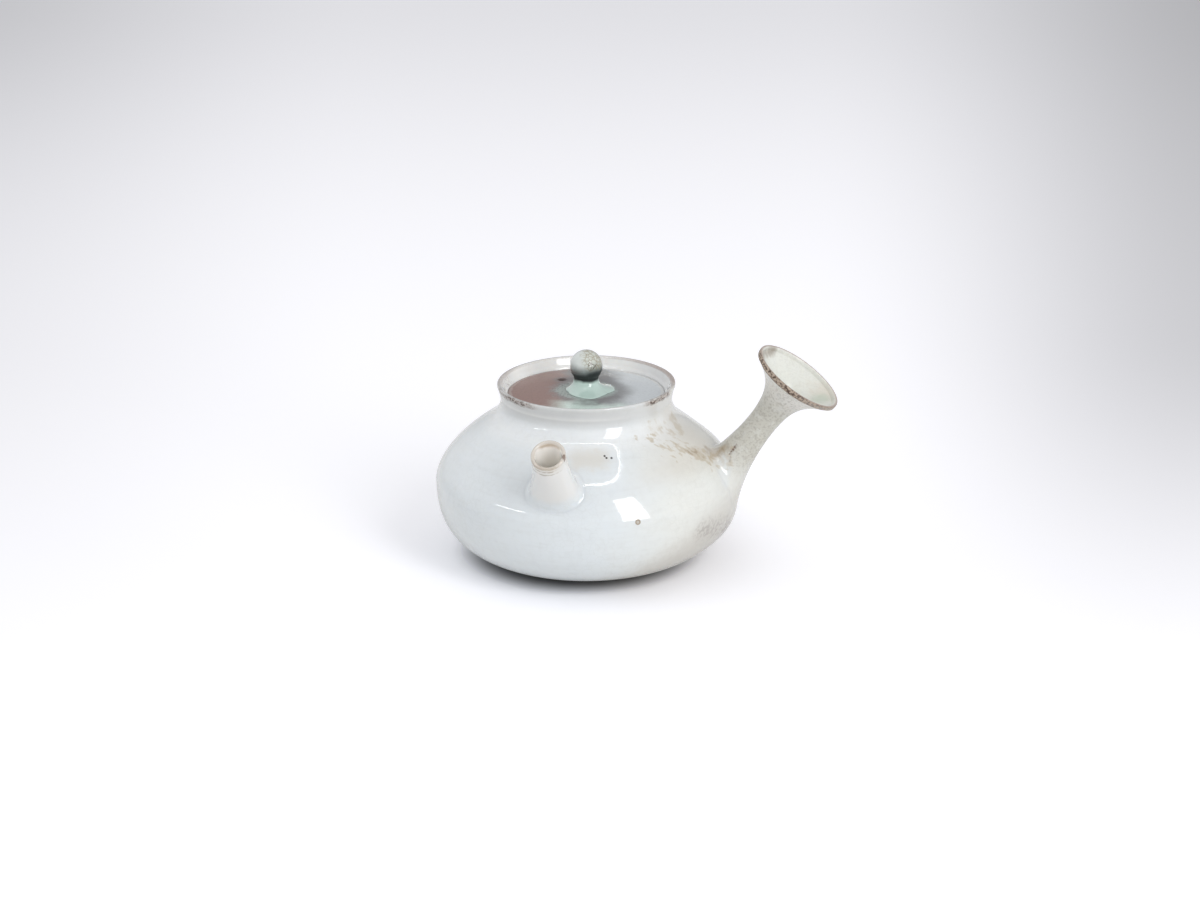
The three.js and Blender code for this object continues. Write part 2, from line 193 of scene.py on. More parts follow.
# %% The sheet
class Sheet:
    """A node tree that is written with calls and sums."""

    def __init__(self, tree):
        self.tree = tree

    def node(self, kind, settings=None, sockets=None, output=0):
        made = self.tree.nodes.new(kind)
        for name, value in (settings or {}).items():
            setattr(made, name, value)
        for key, value in (sockets or {}).items():
            if isinstance(value, Wire):
                self.tree.links.new(value.socket, made.inputs[key])
            else:
                made.inputs[key].default_value = value
        return Wire(self, made.outputs[output]) if made.outputs else made

    def end(self, shader):
        """Ends a material with a shader."""
        self.node("ShaderNodeOutputMaterial", {}, {"Surface": shader})

    def mix(self, amount, first, second):
        """One colour laid over another."""
        sockets = {0: amount, 6: first, 7: second}
        return self.node("ShaderNodeMix", {"data_type": "RGBA"}, sockets, 2)

    def vector(self, operation, *terms, output=0):
        settings = {"operation": operation}
        return self.node("ShaderNodeVectorMath", settings, dict(enumerate(terms)), output)

    def scaled(self, vector, size):
        return self.node("ShaderNodeVectorMath", {"operation": "SCALE"}, {0: vector, 3: size})

    def split(self, vector):
        return [self.node("ShaderNodeSeparateXYZ", {}, {0: vector}, axis) for axis in range(3)]

    def place(self):
        """Where a point of the surface is, in millimetres."""
        return self.scaled(self.node("ShaderNodeTexCoord", {}, {}, 3), 1 / MM)

    def ease(self, value, start, end):
        """0 at the start and 1 at the end, with soft turns."""
        settings = {"interpolation_type": "SMOOTHSTEP"}
        return self.node("ShaderNodeMapRange", settings, {0: value, 1: start, 2: end})

    def cloud(self, place, size, detail=2.0):
        """Noise around 0.5 with clouds of about the given size."""
        sockets = {"Vector": place, "Scale": 1 / size, "Detail": detail}
        return self.node("ShaderNodeTexNoise", {}, sockets)

    def from_axis(self, place):
        """Distance from the axis that the pot is turned about."""
        return self.vector("LENGTH", self.vector("MULTIPLY", place, (1, 1, 0)), output=1)

    def along(self, place, point, direction):
        """How far a place lies past a point, measured along a direction."""
        way = self.vector("DOT_PRODUCT", place, tuple(direction), output=1)
        return way - float(np.dot(point, direction))

    def beside(self, place, *points):
        """Distance from a point, or from a line through several points."""
        if len(points) == 1:
            return self.vector("DISTANCE", place, tuple(points[0]), output=1)
        gaps = []
        for start, end in zip(points, points[1:]):
            line = Vector(end) - Vector(start)
            ahead = self.vector("SUBTRACT", place, tuple(start))
            part = self.vector("DOT_PRODUCT", ahead, tuple(line), output=1) / line.length_squared
            nearest = self.scaled(tuple(line), part.most(0).least(1))
            gaps.append(self.vector("DISTANCE", ahead, nearest, output=1))
        while len(gaps) > 1:
            gaps.append(gaps.pop().least(gaps.pop()))
        return gaps[0]

    def patch(self, place, points, far, near, fray=0.0):
        """1 at a point or a line and 0 beyond the far distance, with a border moved by the fray."""
        return self.ease(self.beside(place, *points) + fray, far, near)


def rgb(code):
    """A colour written as on a screen, as the linear values that Blender works with."""
    parts = [int(code[i:i + 2], 16) / 255 for i in (1, 3, 5)]
    linear = [p / 12.92 if p <= 0.04045 else ((p + 0.055) / 1.055) ** 2.4 for p in parts]
    return (*linear, 1.0)


def new_material(name):
    material = bpy.data.materials.new(name)
    material.use_nodes = True
    material.node_tree.nodes.clear()
    return material, Sheet(material.node_tree)


COAT_ROUGHNESS = 0.03


def glazed(sheet, colour, roughness, height, coat=0.0, **constants):
    """A shader with a clear gloss on top, the coat. Height is in millimetres."""
    normal = sheet.node("ShaderNodeBump", {}, {"Height": height, "Distance": MM})
    sockets = {"Base Color": colour, "Roughness": roughness, "Normal": normal, "Coat Weight": coat,
               "Coat Roughness": COAT_ROUGHNESS, **constants}
    return sheet.node("ShaderNodeBsdfPrincipled", {}, sockets)


# %% [markdown]
# ## The body's curve
# Below the belly and above it the wall is a quarter of a superellipse, which is an ellipse with a
# power of its own: a higher power makes a squarer shoulder. The potter's fingers leave soft rings
# in the wall. They are a tenth of the thickness of paper, yet they make every reflection waver.

# %% The body's outline in one function
RING_HEIGHT = 0.009
RING_STEP = 3.9
RING_DRIFT = 1.5
SLOPE_STEP = 0.2


def rings(distance):
    """The faint waves that fingers leave in turning clay."""
    turn = 2 * np.pi * distance / RING_STEP + RING_DRIFT * np.sin(distance / 5)
    return RING_HEIGHT * np.sin(turn)


def body_radius(z):
    """Outside radius of the wall at a height."""
    z = np.asarray(z, float)
    fall = np.clip((BELLY_Z - z) / LOWER_DROP, 0, 1)
    lower = LOWER_R + (BELLY_R - LOWER_R) * (1 - fall**LOWER_POWER) ** (1 / LOWER_POWER)
    rise = np.clip((z - BELLY_Z) / SHOULDER_RISE, 0, 1)
    shoulder = BELLY_R * (1 - rise**SHOULDER_POWER) ** (1 / SHOULDER_POWER)
    return np.where(z < BELLY_Z, lower, shoulder) + rings(z)


def wall_slope(z):
    """How fast the radius grows with height."""
    return (body_radius(z + SLOPE_STEP) - body_radius(z - SLOPE_STEP)) / (2 * SLOPE_STEP)


def offset_radius(z, out):
    """The body's radius at a height, moved out by a distance square to the wall."""
    return body_radius(z) + out * np.hypot(1, wall_slope(z))


def on_wall(degrees, z):
    """A point on the wall. Zero degrees is the spout's side and ninety the handle's."""
    turn = math.radians(degrees)
    radius = float(body_radius(z))
    return np.array([radius * math.sin(turn), -radius * math.cos(turn), z])


def rim_lift(x, y):
    """How much the rim stands above its plain height. It leans up at the back and the right."""
    return x * 0.005 + y * 0.0075 + 0.5


print("shoulder radius at 50 mm:", round(float(body_radius(50)), 2))

# %% [markdown]
# ## Where the tubes stand
# The spout and the handle are tubes with a mouth, a direction and an underside. Three unit vectors
# and a place make a matrix that carries points from the tube's own space into the pot's.

# %% Frames for the spout and the handle
def tube_frame(reach, top, slope, outwards):
    """Local Z runs out along the tube, local X faces down and away from the pot."""
    outwards = np.array(outwards, float)
    up = np.array([0, 0, 1.0])
    along = outwards * math.cos(slope) + up * math.sin(slope)
    under = outwards * math.sin(slope) - up * math.cos(slope)
    frame = np.eye(4)
    frame[:3, :3] = np.column_stack([under, np.cross(along, under), along])
    frame[:3, 3] = outwards * reach + up * top
    return frame


SPOUT = tube_frame(reach=62.4, top=60.1, slope=math.radians(53.5), outwards=(0, -1, 0))
HANDLE = tube_frame(reach=76.3, top=73, slope=math.radians(55.7), outwards=(1, 0, 0))
SPOUT_MOUTH, SPOUT_WAY = SPOUT[:3, 3], SPOUT[:3, 2]
HANDLE_MOUTH, HANDLE_WAY = HANDLE[:3, 3], HANDLE[:3, 2]
print("spout points", SPOUT_WAY.round(3), "handle points", HANDLE_WAY.round(3))

# %% [markdown]
# ## Porcelain glaze
# One glaze runs over the body, the spout and the handle, so all three share one material. It reads
# object coordinates, and since every piece sits at the origin the cloudiness and the marks run
# across the joins without a break. The white is cool in front and turns creamy towards the handle.
# Kiln marks are soft masks: the distance from a point or a line, frayed by noise. Porcelain lets
# some light in, most of all the spout's thin wall, so its bore gets a shader of its own.

# %% The colours of the glaze
COOL_WHITE = rgb("#E0E5E8")
WARM_WHITE = rgb("#E4E5E1")
WARM_GREY = rgb("#D3CFC7")
LOW_GREY_AND_SHADE = rgb("#CCC8C1")
INNER_PAINTED_LIGHT = rgb("#EDEDEB")
INNER_PAINTED_SHADE = rgb("#D8D8D8")
COLLAR_PAINTED_SHADE = rgb("#C3C1BE")
NECK_PAINTED_LIGHT = rgb("#EDEFF0")
SPOUT_WHITE = rgb("#E6E4E1")
HANDLE_CREAM = rgb("#C8C6BD")
FLARE_CREAM = rgb("#E9E7E3")
BOWL_WHITE = rgb("#E0E1DB")
MOTTLE = rgb("#9A948A")
STAIN = rgb("#8D8070")
VEIL = rgb("#CFC8BD")
TOAST = rgb("#BFB199")
TOAST_DARK = rgb("#96836A")
BURNT = rgb("#6E5444")
RUST = rgb("#92786A")
IRON = rgb("#574539")
SOOT_BLACK = rgb("#3A3433")
SMOKE = rgb("#978F8B")
LIP_CLAY = rgb("#C4B3A2")
BEIGE = rgb("#D3CBBE")
BORE_PAINTED_LIGHT = rgb("#FFF6EE")
LIP_GREY = rgb("#C8BFB6")
POOL_GREEN = rgb("#B5C4B4")


def crackle(sheet, place, size, width):
    """A net of fine cracks, as in old glaze. Its meshes and its lines are in millimetres."""
    bend = sheet.node("ShaderNodeTexNoise", {}, {"Vector": place, "Scale": 1 / size}, 1)
    bent = sheet.vector("ADD", place, sheet.scaled(bend, size * 0.8))
    settings = {"feature": "DISTANCE_TO_EDGE"}
    edge = sheet.node("ShaderNodeTexVoronoi", settings, {"Vector": bent, "Scale": 1 / size})
    return sheet.ease(edge * size, width, width * 0.2)


# %% Marks on the body
STREAK = (0.856, 0.166, -0.489)
STREAK_STRETCH = 0.35
BAND = [(24, -22.5, 54.4), (33, -20, 50.6), (50, -6, 43.4)]
PINHOLE = on_wall(30.8, 32.1)
DOTS = [on_wall(*spot) for spot in ((21.4, 51.2), (22.2, 50.7), (24.8, 50.6), (45.8, 54.3))]


def body_marks(sheet, place, fray, colour):
    """The kiln marks on the shoulder and low on the handle's side, and painted shade low down."""
    ease, mix, patch = sheet.ease, sheet.mix, sheet.patch
    x, y, z = sheet.split(place)
    veil = patch(place, [(30, -4, 55), (46, -7, 46)], 10, 1, fray * 14)
    end = patch(place, [(41.5, -12.5, 46.8), (47.5, -4, 43.4)], 4.2, 1, fray * 5)
    colour = mix((veil * 0.3).most(end * 0.8), colour, VEIL)

    squeeze = sheet.along(place, (0, 0, 0), STREAK) * -STREAK_STRETCH
    squeezed = sheet.vector("ADD", place, sheet.scaled(STREAK, squeeze))
    streaks = sheet.cloud(squeezed, 1.9, 4)
    thick = streaks + (ease(x, 22, 46) * 0.155 - sheet.beside(place, *BAND) * 0.045)
    fleck = ease(thick, 0.47, 0.6)
    colour = mix(fleck * 0.65, colour, TOAST)
    colour = mix(ease(thick, 0.62, 0.76) * 0.55, colour, TOAST_DARK)
    upper = patch(place, [(27, -16, 56), (34, -10, 53)], 3.4, 0.5, fray * 10)
    colour = mix(upper * ease(streaks, 0.4, 0.6) * 0.5, colour, TOAST)
    smear = patch(place, [(31.5, -3, 55.5), (34.6, -6.5, 52.3)], 3, 0.8, fray * 6)
    colour = mix(smear * 0.5, colour, TOAST)

    # Towards the bottom, more on the right, the wall is greyer: partly the glaze's tone, partly
    # painted shade.
    under = ease(x * 0.6 - z + fray * 5, -3, 11)
    colour = mix(under * 0.9, colour, LOW_GREY_AND_SHADE)
    low = patch(place, [(46.5, -26, 23), (52, -9, 19)], 7, 0, fray * 6)
    dark = patch(place, [(51.5, -8, 17.5)], 5.5, 1, fray * 5)
    blotch = ease(sheet.cloud(place, 1.4, 4), 0.42, 0.6)
    smoke = low * (0.18 + blotch * 0.38) + dark * (0.35 + blotch * 0.35)
    colour = mix(smoke, colour, SMOKE)
    blush = patch(place, [on_wall(8, 50.5), on_wall(18, 50.5)], 7, 1, fray * 6)
    return mix(blush * 0.5, colour, BEIGE), fleck, low


def spots(sheet, place, colour):
    """A pinhole with a tan ring, and four black dots."""
    ease, mix = sheet.ease, sheet.mix
    pin = sheet.beside(place, PINHOLE)
    colour = mix(ease(pin, 1.15, 0.85) * 0.85, colour, TOAST_DARK)
    colour = mix(ease(pin, 0.7, 0.3) * 0.6, colour, WARM_GREY)
    nearest = sheet.beside(place, DOTS[0])
    for dot in DOTS[1:]:
        nearest = nearest.least(sheet.beside(place, dot))
    return mix(ease(nearest, 0.5, 0.3), colour, SOOT_BLACK), ease(pin, 1.1, 0.5)


# %% Marks on the rim, the handle and the spout
def rim_rust(sheet, place, grain, fray, colour):
    """Rusty speckle under the lip in two places, and a thin line on top of it elsewhere."""
    ease = sheet.ease
    x, y, z = sheet.split(place)
    below = RIM_Z - z + rim_lift(x, y)
    speckle = ease(grain, 0.42, 0.58)
    left = ease(sheet.beside(place, (-23, -22, RIM_Z)), 16, 8)
    right = ease(sheet.beside(place, (29.5, -13, RIM_Z)), 10, 5)
    rough = left.most(right)
    off_line = below - 0.9 + fray * 2.4
    outer_side = ease(sheet.from_axis(place), 30.4, 31.2)
    rust = ease(off_line.math("ABSOLUTE", off_line), 1.5, 0.3) * rough * outer_side
    right_end = ease(x, -6, 30).most(ease(x, -27, -31) * 0.5)
    line = ease(below, 0.9, 0.35) * ease(y - x * 0.45, -20, -6)
    line = line * (0.1 + right_end * 0.6 + speckle * 0.1)
    dust = sheet.patch(place, [(-28, -3, RIM_Z - 2)], 10, 4, fray * 8) * ease(grain, 0.52, 0.62)
    amount = (rust * (0.5 + 0.5 * speckle)).most(line).most(dust * 0.35)
    return sheet.mix(amount, colour, sheet.mix(speckle * rough, RUST, IRON)), amount


def handle_marks(sheet, place, grain, fray, inside, colour):
    """A dark grainy band under the handle's lip, a stain in its mouth, and a crack at its root."""
    ease, mix, patch = sheet.ease, sheet.mix, sheet.patch
    x, y, z = sheet.split(place)
    stain = patch(place, [(64.2, -5.5, 80.2), (64.4, 0, 80.4), (66, 9, 79.5)], 2.8, 0.6, fray * 2.5)
    colour = mix(stain * 0.75 * inside, colour, STAIN)
    warm = patch(place, [(85.7, 8, 65)], 9, 2, fray * 8)
    colour = mix(warm * inside * 0.5, colour, BEIGE)
    pool = patch(place, [(84, 4, 64)], 5, 1, fray * 3)
    colour = mix(pool * 0.5 * inside, colour, POOL_GREEN)

    back = sheet.along(place, HANDLE_MOUTH, HANDLE_WAY)
    facing = ease(y + fray * 4, 3, -4)
    thinner = ease(x, 74, 88)
    band = ease(back + fray * 0.6 - thinner * 0.8, -2.6, -2.2) * ease(x, 55, 58)
    low_lip = band * ease(inside, 0.45, 0.2) * facing * (1 - thinner * 0.3)
    thin = band * ease(inside, 0.0, 0.2) * ease(inside, 0.8, 0.5) * 0.7
    colour = mix(thin, colour, RUST)
    colour = mix(low_lip, colour, IRON)
    colour = mix(low_lip * ease(grain, 0.42, 0.58) * 0.8, colour, LIP_CLAY)

    torn_edge = fray * 1.6 + (grain - 0.5) * 1.6
    torn = patch(place, [(55.4, -5.0, 47.6), (53.7, -5.8, 44.9)], 0.8, 0.2, torn_edge)
    hair = patch(place, [(53.7, -5.9, 44.8), (53.4, -6.8, 42)], 0.6, 0, torn_edge)
    crack = torn.most(hair * 0.4)
    pooled = patch(place, [(51, -6, 42.6), (52, -10.5, 35)], 3.4, 0.8, fray * 2)
    colour = mix(pooled * 0.4, colour, COOL_WHITE)
    joint = patch(place, [(45.7, -4.5, 45), (51.5, -5, 46)], 3.4, 0, fray * 9)
    colour = mix(joint * 0.4, colour, TOAST_DARK)
    return mix(crack * 0.85, colour, BURNT), low_lip, crack


def spout_marks(sheet, place, grain, fray, inside, colour):
    """A pinker white than the body, a bore painted paler as painted light, a darker brown
    crescent in the mouth, and lines round the tube.
    """
    ease, mix, patch = sheet.ease, sheet.mix, sheet.patch
    back = sheet.along(place, SPOUT_MOUTH, SPOUT_WAY)
    tube = patch(place, [SPOUT_MOUTH, SPOUT_MOUTH - 30 * SPOUT_WAY], 12, 8)
    on_spout = tube * ease(back, -24, -18)
    bore = on_spout * ease(inside, 0.75, 1)
    outside = on_spout - bore
    colour = mix(outside * 0.85, colour, SPOUT_WHITE)
    # Painted light: the bore is painted a paler white than the glaze, so its deep inside reads
    # bright.
    colour = mix(bore, colour, BORE_PAINTED_LIGHT)
    # A darker brown crescent just inside the top of the mouth.
    mouth_crescent = patch(place, [(-2.8, -59.1, 62.5), (2.4, -58.9, 62.8)], 2.6, 0.9, fray * 1.5)
    colour = mix(mouth_crescent * bore * 0.7, colour, TOAST_DARK)
    dusty = ease(back + fray * 2, -4.5, 0) * (0.45 + ease(grain, 0.45, 0.6) * 0.2)
    colour = mix(outside * dusty, colour, BEIGE)
    colour = mix(outside * ease(back, -1.2, -0.2) * 0.6, colour, LIP_GREY)
    edge = patch(place, [(5.3, -62.8, 60.6), (5.6, -62.6, 58.8)], 1.1, 0.5, (grain - 0.5) * 0.8)
    colour = mix(edge * 0.8, colour, BURNT)
    facing = patch(place, [(-1.5, -68, 55)], 9.5, 5)
    for depth, width, dark in ((-0.5, 0.6, 0.5), (-1.9, 0.45, 0.6), (-3.6, 0.5, 0.6)):
        off = back - depth + fray * 1.2
        line = ease(off.math("ABSOLUTE", off), width, 0.1) * ease(fray, -0.12, 0.05)
        colour = mix(line * facing * dark * outside, colour, TOAST_DARK)
    return colour, bore


# %% The porcelain
SUBSURFACE = {"Subsurface Weight": 0.35, "Subsurface Radius": (1, 0.93, 0.82),
              "Subsurface Scale": 1.6 * MM}
THIN_SUBSURFACE = {"Subsurface Weight": 1, "Subsurface Radius": (1, 1, 1),
                   "Subsurface Scale": 4.5 * MM}


def porcelain_glaze():
    material, sheet = new_material("porcelain_glaze")
    ease, mix = sheet.ease, sheet.mix
    place = sheet.place()
    x, y, z = sheet.split(place)
    drift = sheet.cloud(place, 24, 2)
    fray = sheet.cloud(place, 2.4, 4) - 0.5
    grain = sheet.cloud(place, 0.8, 3)
    inside = sheet.node("ShaderNodeAttribute", {"attribute_name": "bore"}, {}, 2)

    colour = mix(ease(x + (drift - 0.5) * 24, 12, 46), COOL_WHITE, WARM_WHITE)
    # The lower right turns warm grey: partly the glaze's tone, partly painted shade.
    colour = mix(ease(x - z * 0.5 + (drift - 0.5) * 16, 26, 48) * 0.6, colour, WARM_GREY)
    # Painted light: the neck is painted paler than the glaze to lift it out of its shade.
    colour = mix(ease(z, 50, 54) * ease(z, 61, 57) * 0.7, colour, NECK_PAINTED_LIGHT)
    # Painted shade: under the lip the collar is painted grey, more away from the handle.
    colour = mix(ease(z, 57, 61.5) * (0.3 + ease(x, 28, 14) * 0.3), colour, COLLAR_PAINTED_SHADE)
    colour = mix(ease(x, 18, 38) * ease(z, 39, 46) * 0.4, colour, BEIGE)
    # Painted light and shade: the inside of the collar is painted paler on the left and greyer on
    # the right.
    inner_side = ease(sheet.from_axis(place), 31.4, 30.6) * ease(z, LID_TOP_Z - 2, LID_TOP_Z - 1)
    colour = mix(inner_side, colour, mix(ease(x, 4, 24), INNER_PAINTED_LIGHT, INNER_PAINTED_SHADE))
    along_handle = sheet.along(place, HANDLE_MOUTH, HANDLE_WAY)
    on_handle = ease(along_handle, -46, -30) * ease(x, 40, 50)
    cream = mix(ease(along_handle, -16, -4), HANDLE_CREAM, FLARE_CREAM)
    colour = mix(on_handle, colour, mix(inside, cream, BOWL_WHITE))
    speckled = on_handle * (1 - inside * 0.8)
    colour = mix(speckled * ease(grain, 0.46, 0.64) * 0.42, colour, MOTTLE)
    colour = mix(speckled * ease(fray, 0.02, 0.12) * 0.3, colour, WARM_WHITE)
    turning = sheet.cloud(sheet.vector("MULTIPLY", place, (0.12, 0.12, 1)), 1.3, 3)
    mottled = ease(turning, 0.45, 0.7) * 0.035 + ease(fray, -0.05, 0.2) * 0.04
    colour = mix(mottled, colour, MOTTLE)
    cracks = crackle(sheet, place, 2.6, 0.2) * ease(drift, 0.4, 0.6)
    colour = mix(cracks * 0.045, colour, MOTTLE)

    colour, fleck, soot = body_marks(sheet, place, fray, colour)
    colour, pin = spots(sheet, place, colour)
    colour, rust = rim_rust(sheet, place, grain, fray, colour)
    colour, lip, crack = handle_marks(sheet, place, grain, fray, inside, colour)
    colour, bore = spout_marks(sheet, place, grain, fray, inside, colour)

    rough = 0.09 + on_handle * 0.22 + fleck * 0.1 + soot * 0.12 + (rust + lip) * 0.4
    height = drift * 0.35 + (lip + rust) * grain * 0.25 - crack * 0.2 - pin * 0.15
    height = height + on_handle * grain * 0.03
    wall = glazed(sheet, colour, rough, height, 1 - on_handle * 0.8, **SUBSURFACE)
    thin_wall = glazed(sheet, colour, rough, height, 1, **THIN_SUBSURFACE)
    sheet.end(sheet.node("ShaderNodeMixShader", {}, {0: bore, 1: wall, 2: thin_wall}))
    return material


GLAZE = porcelain_glaze()
print("nodes in the glaze:", len(GLAZE.node_tree.nodes))

# %% [markdown]
# ## Lid glaze
# The lid carries another glaze. Iron in it has fired mauve brown on one side and blue grey on the
# other. It runs grey green round the knob's foot and thins to white at the lid's edge. All of it is
# laid on by the place on the plan of the lid, with noise to fray the borders.

# %% The lid's glaze
MAUVE = rgb("#907169")
SLATE = rgb("#717071")
BLUE_GREY = rgb("#CDD2D6")
PAD_REFLECTION_TEAL = rgb("#DEF0E8")
GREY_GREEN = rgb("#8F8A89")
THIN_EDGE = rgb("#DAD9D5")
CELADON = rgb("#BCD2CA")
WAIST_DARK = rgb("#1E2525")


def lid_glaze():
    material, sheet = new_material("lid_glaze")
    ease, mix = sheet.ease, sheet.mix
    place = sheet.place()
    x, y, z = sheet.split(place)
    reach = sheet.from_axis(place)
    drift = sheet.cloud(place, 9, 3)
    fray = sheet.cloud(place, 2, 4) - 0.5
    grain = sheet.cloud(place, 0.7, 3)
    across = x + y * 0.25 + (drift - 0.5) * 10
    colour = mix(ease(across, -12, -4), MAUVE, SLATE)
    colour = mix(ease(across, 5, 18), colour, BLUE_GREY)
    # Right of the knob the lid darkens to slate: partly the glaze, partly a painted reflection of
    # the dark knob.
    shade = ease(reach + (drift - 0.5) * 6, 20, 12) * ease(x, -6, 4)
    colour = mix(shade * 0.6, colour, SLATE)
    # In front of the knob the lid turns pale teal: partly the glaze, partly a painted reflection of
    # the celadon pad.
    front = ease(y + fray * 4 + (drift - 0.5) * 12, -9, -19)
    front = front * ease(across, -16, -8) * ease(x, 26, 16)
    colour = mix(front * 0.85, colour, PAD_REFLECTION_TEAL)
    halo = ease(reach + fray * 6, 15, 10) * ease(x, 4, -6)
    colour = mix(halo * 0.9, colour, GREY_GREEN)
    colour = mix(ease(reach + fray * 4, 12, 9.5) * 0.4, colour, CELADON)
    colour = mix(halo.most(0.2) * ease(grain, 0.5, 0.64) * 0.45, colour, WAIST_DARK)
    # Painted shade: a dark patch round the vent widens the dark of the hole.
    vent_painted_shade = sheet.patch(place, [(*VENT_AT, LID_TOP_Z)], 4.5, 2, fray * 2)
    colour = mix(vent_painted_shade * 0.5, colour, SLATE)
    thin = ease(reach + fray * 1.4, LID_R - 1.2, LID_R - 0.3) * (0.2 + ease(x, -8, 8) * 0.4)
    colour = mix(thin, colour, THIN_EDGE)
    rough = 0.07 + ease(x, -4, -16) * 0.12 + grain * 0.04
    sheet.end(glazed(sheet, colour, rough, drift * 0.1 + grain * 0.004))
    return material


LID_GLAZE = lid_glaze()

# %% [markdown]
# ## Knob glaze
# The knob's foot stands in a pool of celadon, a pale green glaze. The waist is nearly black, and
# the ball is grey green with cracks that have taken up gold-brown stain. Height tells them apart.

# %% The knob's glaze
BALL_DUSK = rgb("#798180")
BALL_GREY = rgb("#D1D6D3")
GOLD_STAIN = rgb("#857350")
BALL_TAN = rgb("#B3B39C")


def knob_glaze():
    material, sheet = new_material("knob_glaze")
    ease, mix = sheet.ease, sheet.mix
    place = sheet.place()
    x, y, z = sheet.split(place)
    drift = sheet.cloud(place, 4, 3)
    rise = z - LID_TOP_Z + (drift - 0.5) * 1.4
    colour = mix(ease(rise, 3.6, 5), CELADON, WAIST_DARK)
    rise = rise - ease(x, 0, 5) * 1.2
    colour = mix(ease(rise, 6.2, 9), colour, BALL_DUSK)
    colour = mix(ease(rise, 8.2, 11.5), colour, BALL_GREY)
    right = ease(x + rise * 0.5 + (drift - 0.5) * 4, 5, 8)
    colour = mix(right * ease(rise, 7, 9) * 0.35, colour, BALL_TAN)
    line = crackle(sheet, place, 1.5, 0.2) * ease(rise, 7, 9) * right
    colour = mix(line * 0.7, colour, GOLD_STAIN)
    deep = sheet.patch(place, [(3.2, -4.6, LID_TOP_Z + 10.6)], 2.6, 1, (drift - 0.5) * 3)
    colour = mix(line * deep * 0.8, colour, WAIST_DARK)
    waist = ease(rise, 2.8, 4) * ease(rise, 8.5, 7)
    rough = 0.1 + line * 0.3 + waist * 0.4
    sheet.end(glazed(sheet, colour, rough, drift * 0.12 - line * 0.05, 1 - waist))
    return material


KNOB_GLAZE = knob_glaze()

# %% [markdown]
# ## Bare clay
# The foot, the strainer and the ring under the lid are left without glaze. Fired porcelain is matt,
# warm and slightly sandy there.

# %% Bare clay
CLAY = rgb("#C9BCA8")
CLAY_TOASTED = rgb("#A08A70")


def bare_clay():
    material, sheet = new_material("bare_clay")
    place = sheet.place()
    drift = sheet.cloud(place, 8, 3)
    sand = sheet.cloud(place, 0.5, 3)
    colour = sheet.mix(sheet.ease(drift, 0.4, 0.7) * 0.6, CLAY, CLAY_TOASTED)
    colour = sheet.mix(sheet.ease(sand, 0.55, 0.7) * 0.3, colour, TOAST_DARK)
    sheet.end(glazed(sheet, colour, 0.75 + sand * 0.15, sand * 0.08))
    return material


BARE_CLAY = bare_clay()

# %% [markdown]
# ## The wheel
# Anything thrown is an outline turned about an axis. Blender has a Spin tool and a Screw modifier,
# but a Geometry Nodes tree can be kept and used for each thrown piece. It lays out a grid, gives
# each row a point of the outline and each column a part of a turn, and merges seam and poles.

# %% Helpers for meshes
def bezier(points, steps):
    """Points along a Bezier curve, by parting the lines between its control points."""
    layer = [np.asarray(point, float) for point in points]
    part = np.linspace(0, 1, steps + 1).reshape(-1, *[1] * layer[0].ndim)
    while len(layer) > 1:
        layer = [a * (1 - part) + b * part for a, b in zip(layer, layer[1:])]
    return layer[0]


def soften(points, cut, steps=5):
    """Rounds the corners of an open outline. Each round starts `cut` before its corner."""
    points = [np.asarray(point, float) for point in points]
    rounded = [points[:1]]
    for before, corner, after in zip(points, points[1:], points[2:]):
        back, ahead = before - corner, after - corner
        start = corner + back * min(0.45, cut / np.linalg.norm(back))
        end = corner + ahead * min(0.45, cut / np.linalg.norm(ahead))
        rounded.append(bezier([start, corner, end], steps))
    return np.vstack(rounded + [points[-1:]])


def new_piece(name, mesh):
    piece = bpy.data.objects.new(name, mesh)
    bpy.context.scene.collection.objects.link(piece)
    return piece


CREASE = math.radians(40)


def face_out(piece):
    """Points all faces outwards and shades the piece smooth, except across true corners."""
    work = bmesh.new()
    work.from_mesh(piece.data)
    bmesh.ops.remove_doubles(work, verts=work.verts, dist=1e-7)
    bmesh.ops.recalc_face_normals(work, faces=work.faces)
    work.to_mesh(piece.data)
    work.free()
    piece.data.shade_smooth()
    piece.data.set_sharp_from_angle(angle=CREASE)
    return piece


def plain_mesh(piece, modifier):
    """The mesh that a modifier makes of a piece. The modifier is removed again."""
    shown = piece.evaluated_get(bpy.context.evaluated_depsgraph_get())
    mesh = bpy.data.meshes.new_from_object(shown)
    piece.modifiers.remove(modifier)
    return mesh


def set_in(piece, frame):
    """Carries a piece from a tube's own space into the pot's."""
    turn = Matrix(frame[:3, :3].tolist()).to_4x4()
    piece.data.transform(Matrix.Translation(frame[:3, 3] * MM) @ turn)


# %% Helpers for node trees that make meshes
def new_tree(name, result, **sockets):
    """A tree with its named inputs as wires, and one output."""
    tree = bpy.data.node_groups.new(name, "GeometryNodeTree")
    for title, kind in sockets.items():
        tree.interface.new_socket(title, in_out="INPUT", socket_type="NodeSocket" + kind)
    tree.interface.new_socket(result, in_out="OUTPUT", socket_type="NodeSocketGeometry")
    sheet = Sheet(tree)
    given = tree.nodes.new("NodeGroupInput")
    return sheet, [Wire(sheet, given.outputs[title]) for title in sockets]


def end_tree(sheet, shape, finish):
    """Ends a tree in real geometry that carries its finish."""
    real = sheet.node("GeometryNodeRealizeInstances", {}, {0: shape})
    fired = sheet.node("GeometryNodeSetMaterial", {}, {"Geometry": real, "Material": finish})
    sheet.node("NodeGroupOutput", {}, {0: fired})
    return sheet.tree


